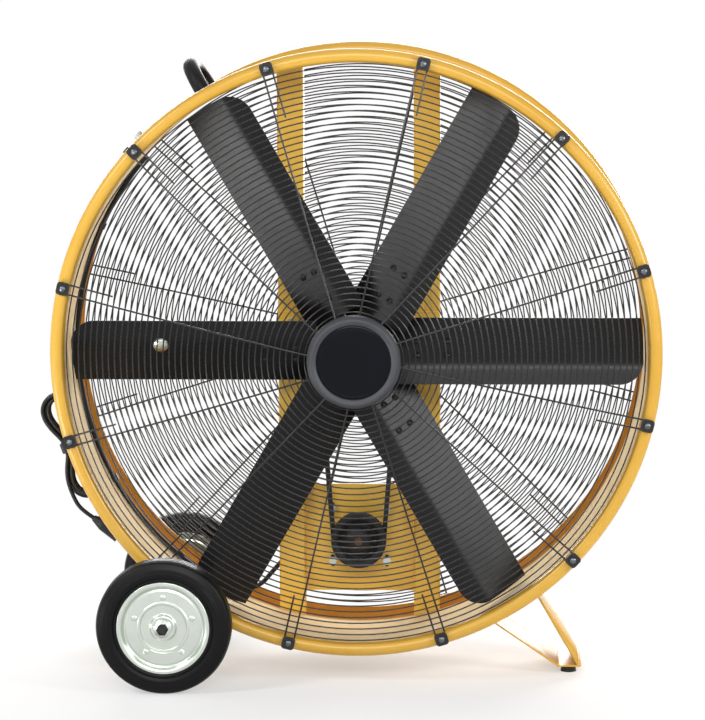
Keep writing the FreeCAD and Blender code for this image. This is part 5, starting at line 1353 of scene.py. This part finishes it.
@dataclass
class Studio:
    """A plain pale studio: floor, white surround, soft lamps and the camera."""

    lamps: tuple[Lamp, ...] = (
        Lamp("left_softbox", at=(-2.3, -1.75, 2.3), size=(0.6, 1.0), watts=34.0),
        Lamp("right_softbox", at=(2.3, -1.5, 1.45), size=(0.6, 0.9), watts=36.0),
        Lamp("front_softbox", at=(0.2, -5.2, 2.8), size=(2.8, 1.2), watts=130.0),
        Lamp("low_card", at=(-1.8, -0.95, 0.02), size=(1.0, 0.8), watts=38.0, way=(0.0, 0.0, 1.0)),
        Lamp("top_lamp", at=(0.2, 0.7, 3.8), size=(2.4, 2.4), watts=9.0),
        Lamp("rear_lamp", at=(0.2, 3.4, 1.7), size=(4.0, 2.4), watts=260.0))
    fill: float = 0.15
    floor_size: float = 40.0
    floor_tone: float = 0.93
    fade_from: float = 0.30
    fade_to: float = 1.15
    fade_least: float = 0.45
    camera_at: tuple[float, float, float] = (0.231, -6.062, 1.436)
    yaw: float = -2.29
    pitch: float = 7.97
    roll: float = -0.18
    focal_px: float = 3237.0
    long_side_px: float = 720.0
    sensor: float = 36.0

    def sky(self) -> None:
        """White for the camera and for reflections, softer as light."""
        world = bpy.data.worlds.new("white_surround")
        bpy.context.scene.world = world
        tree = bare_tree(world)
        seen = self.seen_directly(tree)
        lit = add(tree, "ShaderNodeBackground", {"Color": WHITE, "Strength": self.fill})
        shown = add(tree, "ShaderNodeBackground", {"Color": WHITE, "Strength": 1.0})
        both = add(tree, "ShaderNodeMixShader", {0: seen, 1: lit.outputs[0], 2: shown.outputs[0]})
        add(tree, "ShaderNodeOutputWorld", {"Surface": both.outputs[0]})

    def seen_directly(self, tree: bpy.types.NodeTree) -> bpy.types.NodeSocket:
        """One for rays that show the surround itself.

        Args:
            tree: The tree that gets the nodes.

        Returns:
            A value from nought to one.
        """
        path = add(tree, "ShaderNodeLightPath")
        mirror = add(tree, "ShaderNodeMath", {
            0: path.outputs["Is Camera Ray"], 1: path.outputs["Is Glossy Ray"]}, operation="ADD")
        total = add(tree, "ShaderNodeMath", {
            0: mirror.outputs[0], 1: path.outputs["Is Transmission Ray"]},
            operation="ADD", use_clamp=True)
        return total.outputs[0]

    def floor(self) -> None:
        """A pale floor that keeps the shadow and fades into the white surround."""
        shape = bmesh.new()
        bmesh.ops.create_grid(shape, x_segments=1, y_segments=1, size=self.floor_size)
        mesh = mesh_of("studio_floor", shape)
        floor = new_object("studio_floor", mesh)
        made = bpy.data.materials.new("matt_white_floor")
        tree = bare_tree(made)
        place = add(tree, "ShaderNodeTexCoord").outputs["Object"]
        away = add(tree, "ShaderNodeVectorMath", {0: place}, operation="LENGTH").outputs["Value"]
        fade = add(tree, "ShaderNodeMapRange", {
            "Value": away, "From Min": self.fade_from, "From Max": self.fade_to,
            "To Min": self.fade_least}, interpolation_type="SMOOTHSTEP")
        share = add(tree, "ShaderNodeMath", {
            0: fade.outputs["Result"], 1: self.seen_directly(tree)}, operation="MULTIPLY")
        tone = self.floor_tone
        matt = add(tree, "ShaderNodeBsdfDiffuse", {"Color": (tone, tone, tone, 1.0)})
        white = add(tree, "ShaderNodeEmission", {"Color": WHITE, "Strength": 1.0})
        both = add(tree, "ShaderNodeMixShader", {
            0: share.outputs[0], 1: matt.outputs[0], 2: white.outputs[0]})
        add(tree, "ShaderNodeOutputMaterial", {"Surface": both.outputs[0]})
        mesh.materials.append(made)

    def camera(self) -> None:
        """Set the camera at the photograph's angle."""
        data = bpy.data.cameras.new("photograph_view")
        data.sensor_width = self.sensor
        data.lens = self.focal_px * self.sensor / self.long_side_px
        data.clip_end = 100.0
        camera = new_object("photograph_view", data)
        camera.location = self.camera_at
        yaw, pitch = math.radians(self.yaw), math.radians(self.pitch)
        level = math.cos(pitch)
        look = Vector((math.sin(yaw) * level, math.cos(yaw) * level, -math.sin(pitch)))
        lean = Quaternion((0.0, 0.0, 1.0), math.radians(self.roll))
        camera.rotation_euler = (look.to_track_quat("-Z", "Y") @ lean).to_euler()
        bpy.context.scene.camera = camera

    def build(self) -> None:
        """Set up the studio."""
        bpy.context.scene.view_settings.view_transform = "Standard"
        self.sky()
        self.floor()
        for lamp in self.lamps:
            lamp.hang()
        self.camera()


def write_sizes() -> None:
    """Bring the scene's placements up to date."""
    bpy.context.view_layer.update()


def main() -> None:
    """Build the studio and every sub-assembly."""
    logging.basicConfig(level=logging.INFO, format="%(message)s")
    Studio().build()
    Solids().build()
    PowerCord().build()
    Drum().build()
    Blades().build()
    WireGuard("front_grille", side=-1).build()
    WireGuard("rear_grille", side=1).build()
    CentreCap().build()
    Wheel("front", side=-1).build()
    Wheel("rear", side=1).build()
    Motor().build()
    write_sizes()


if __name__ == "__main__":
    main()
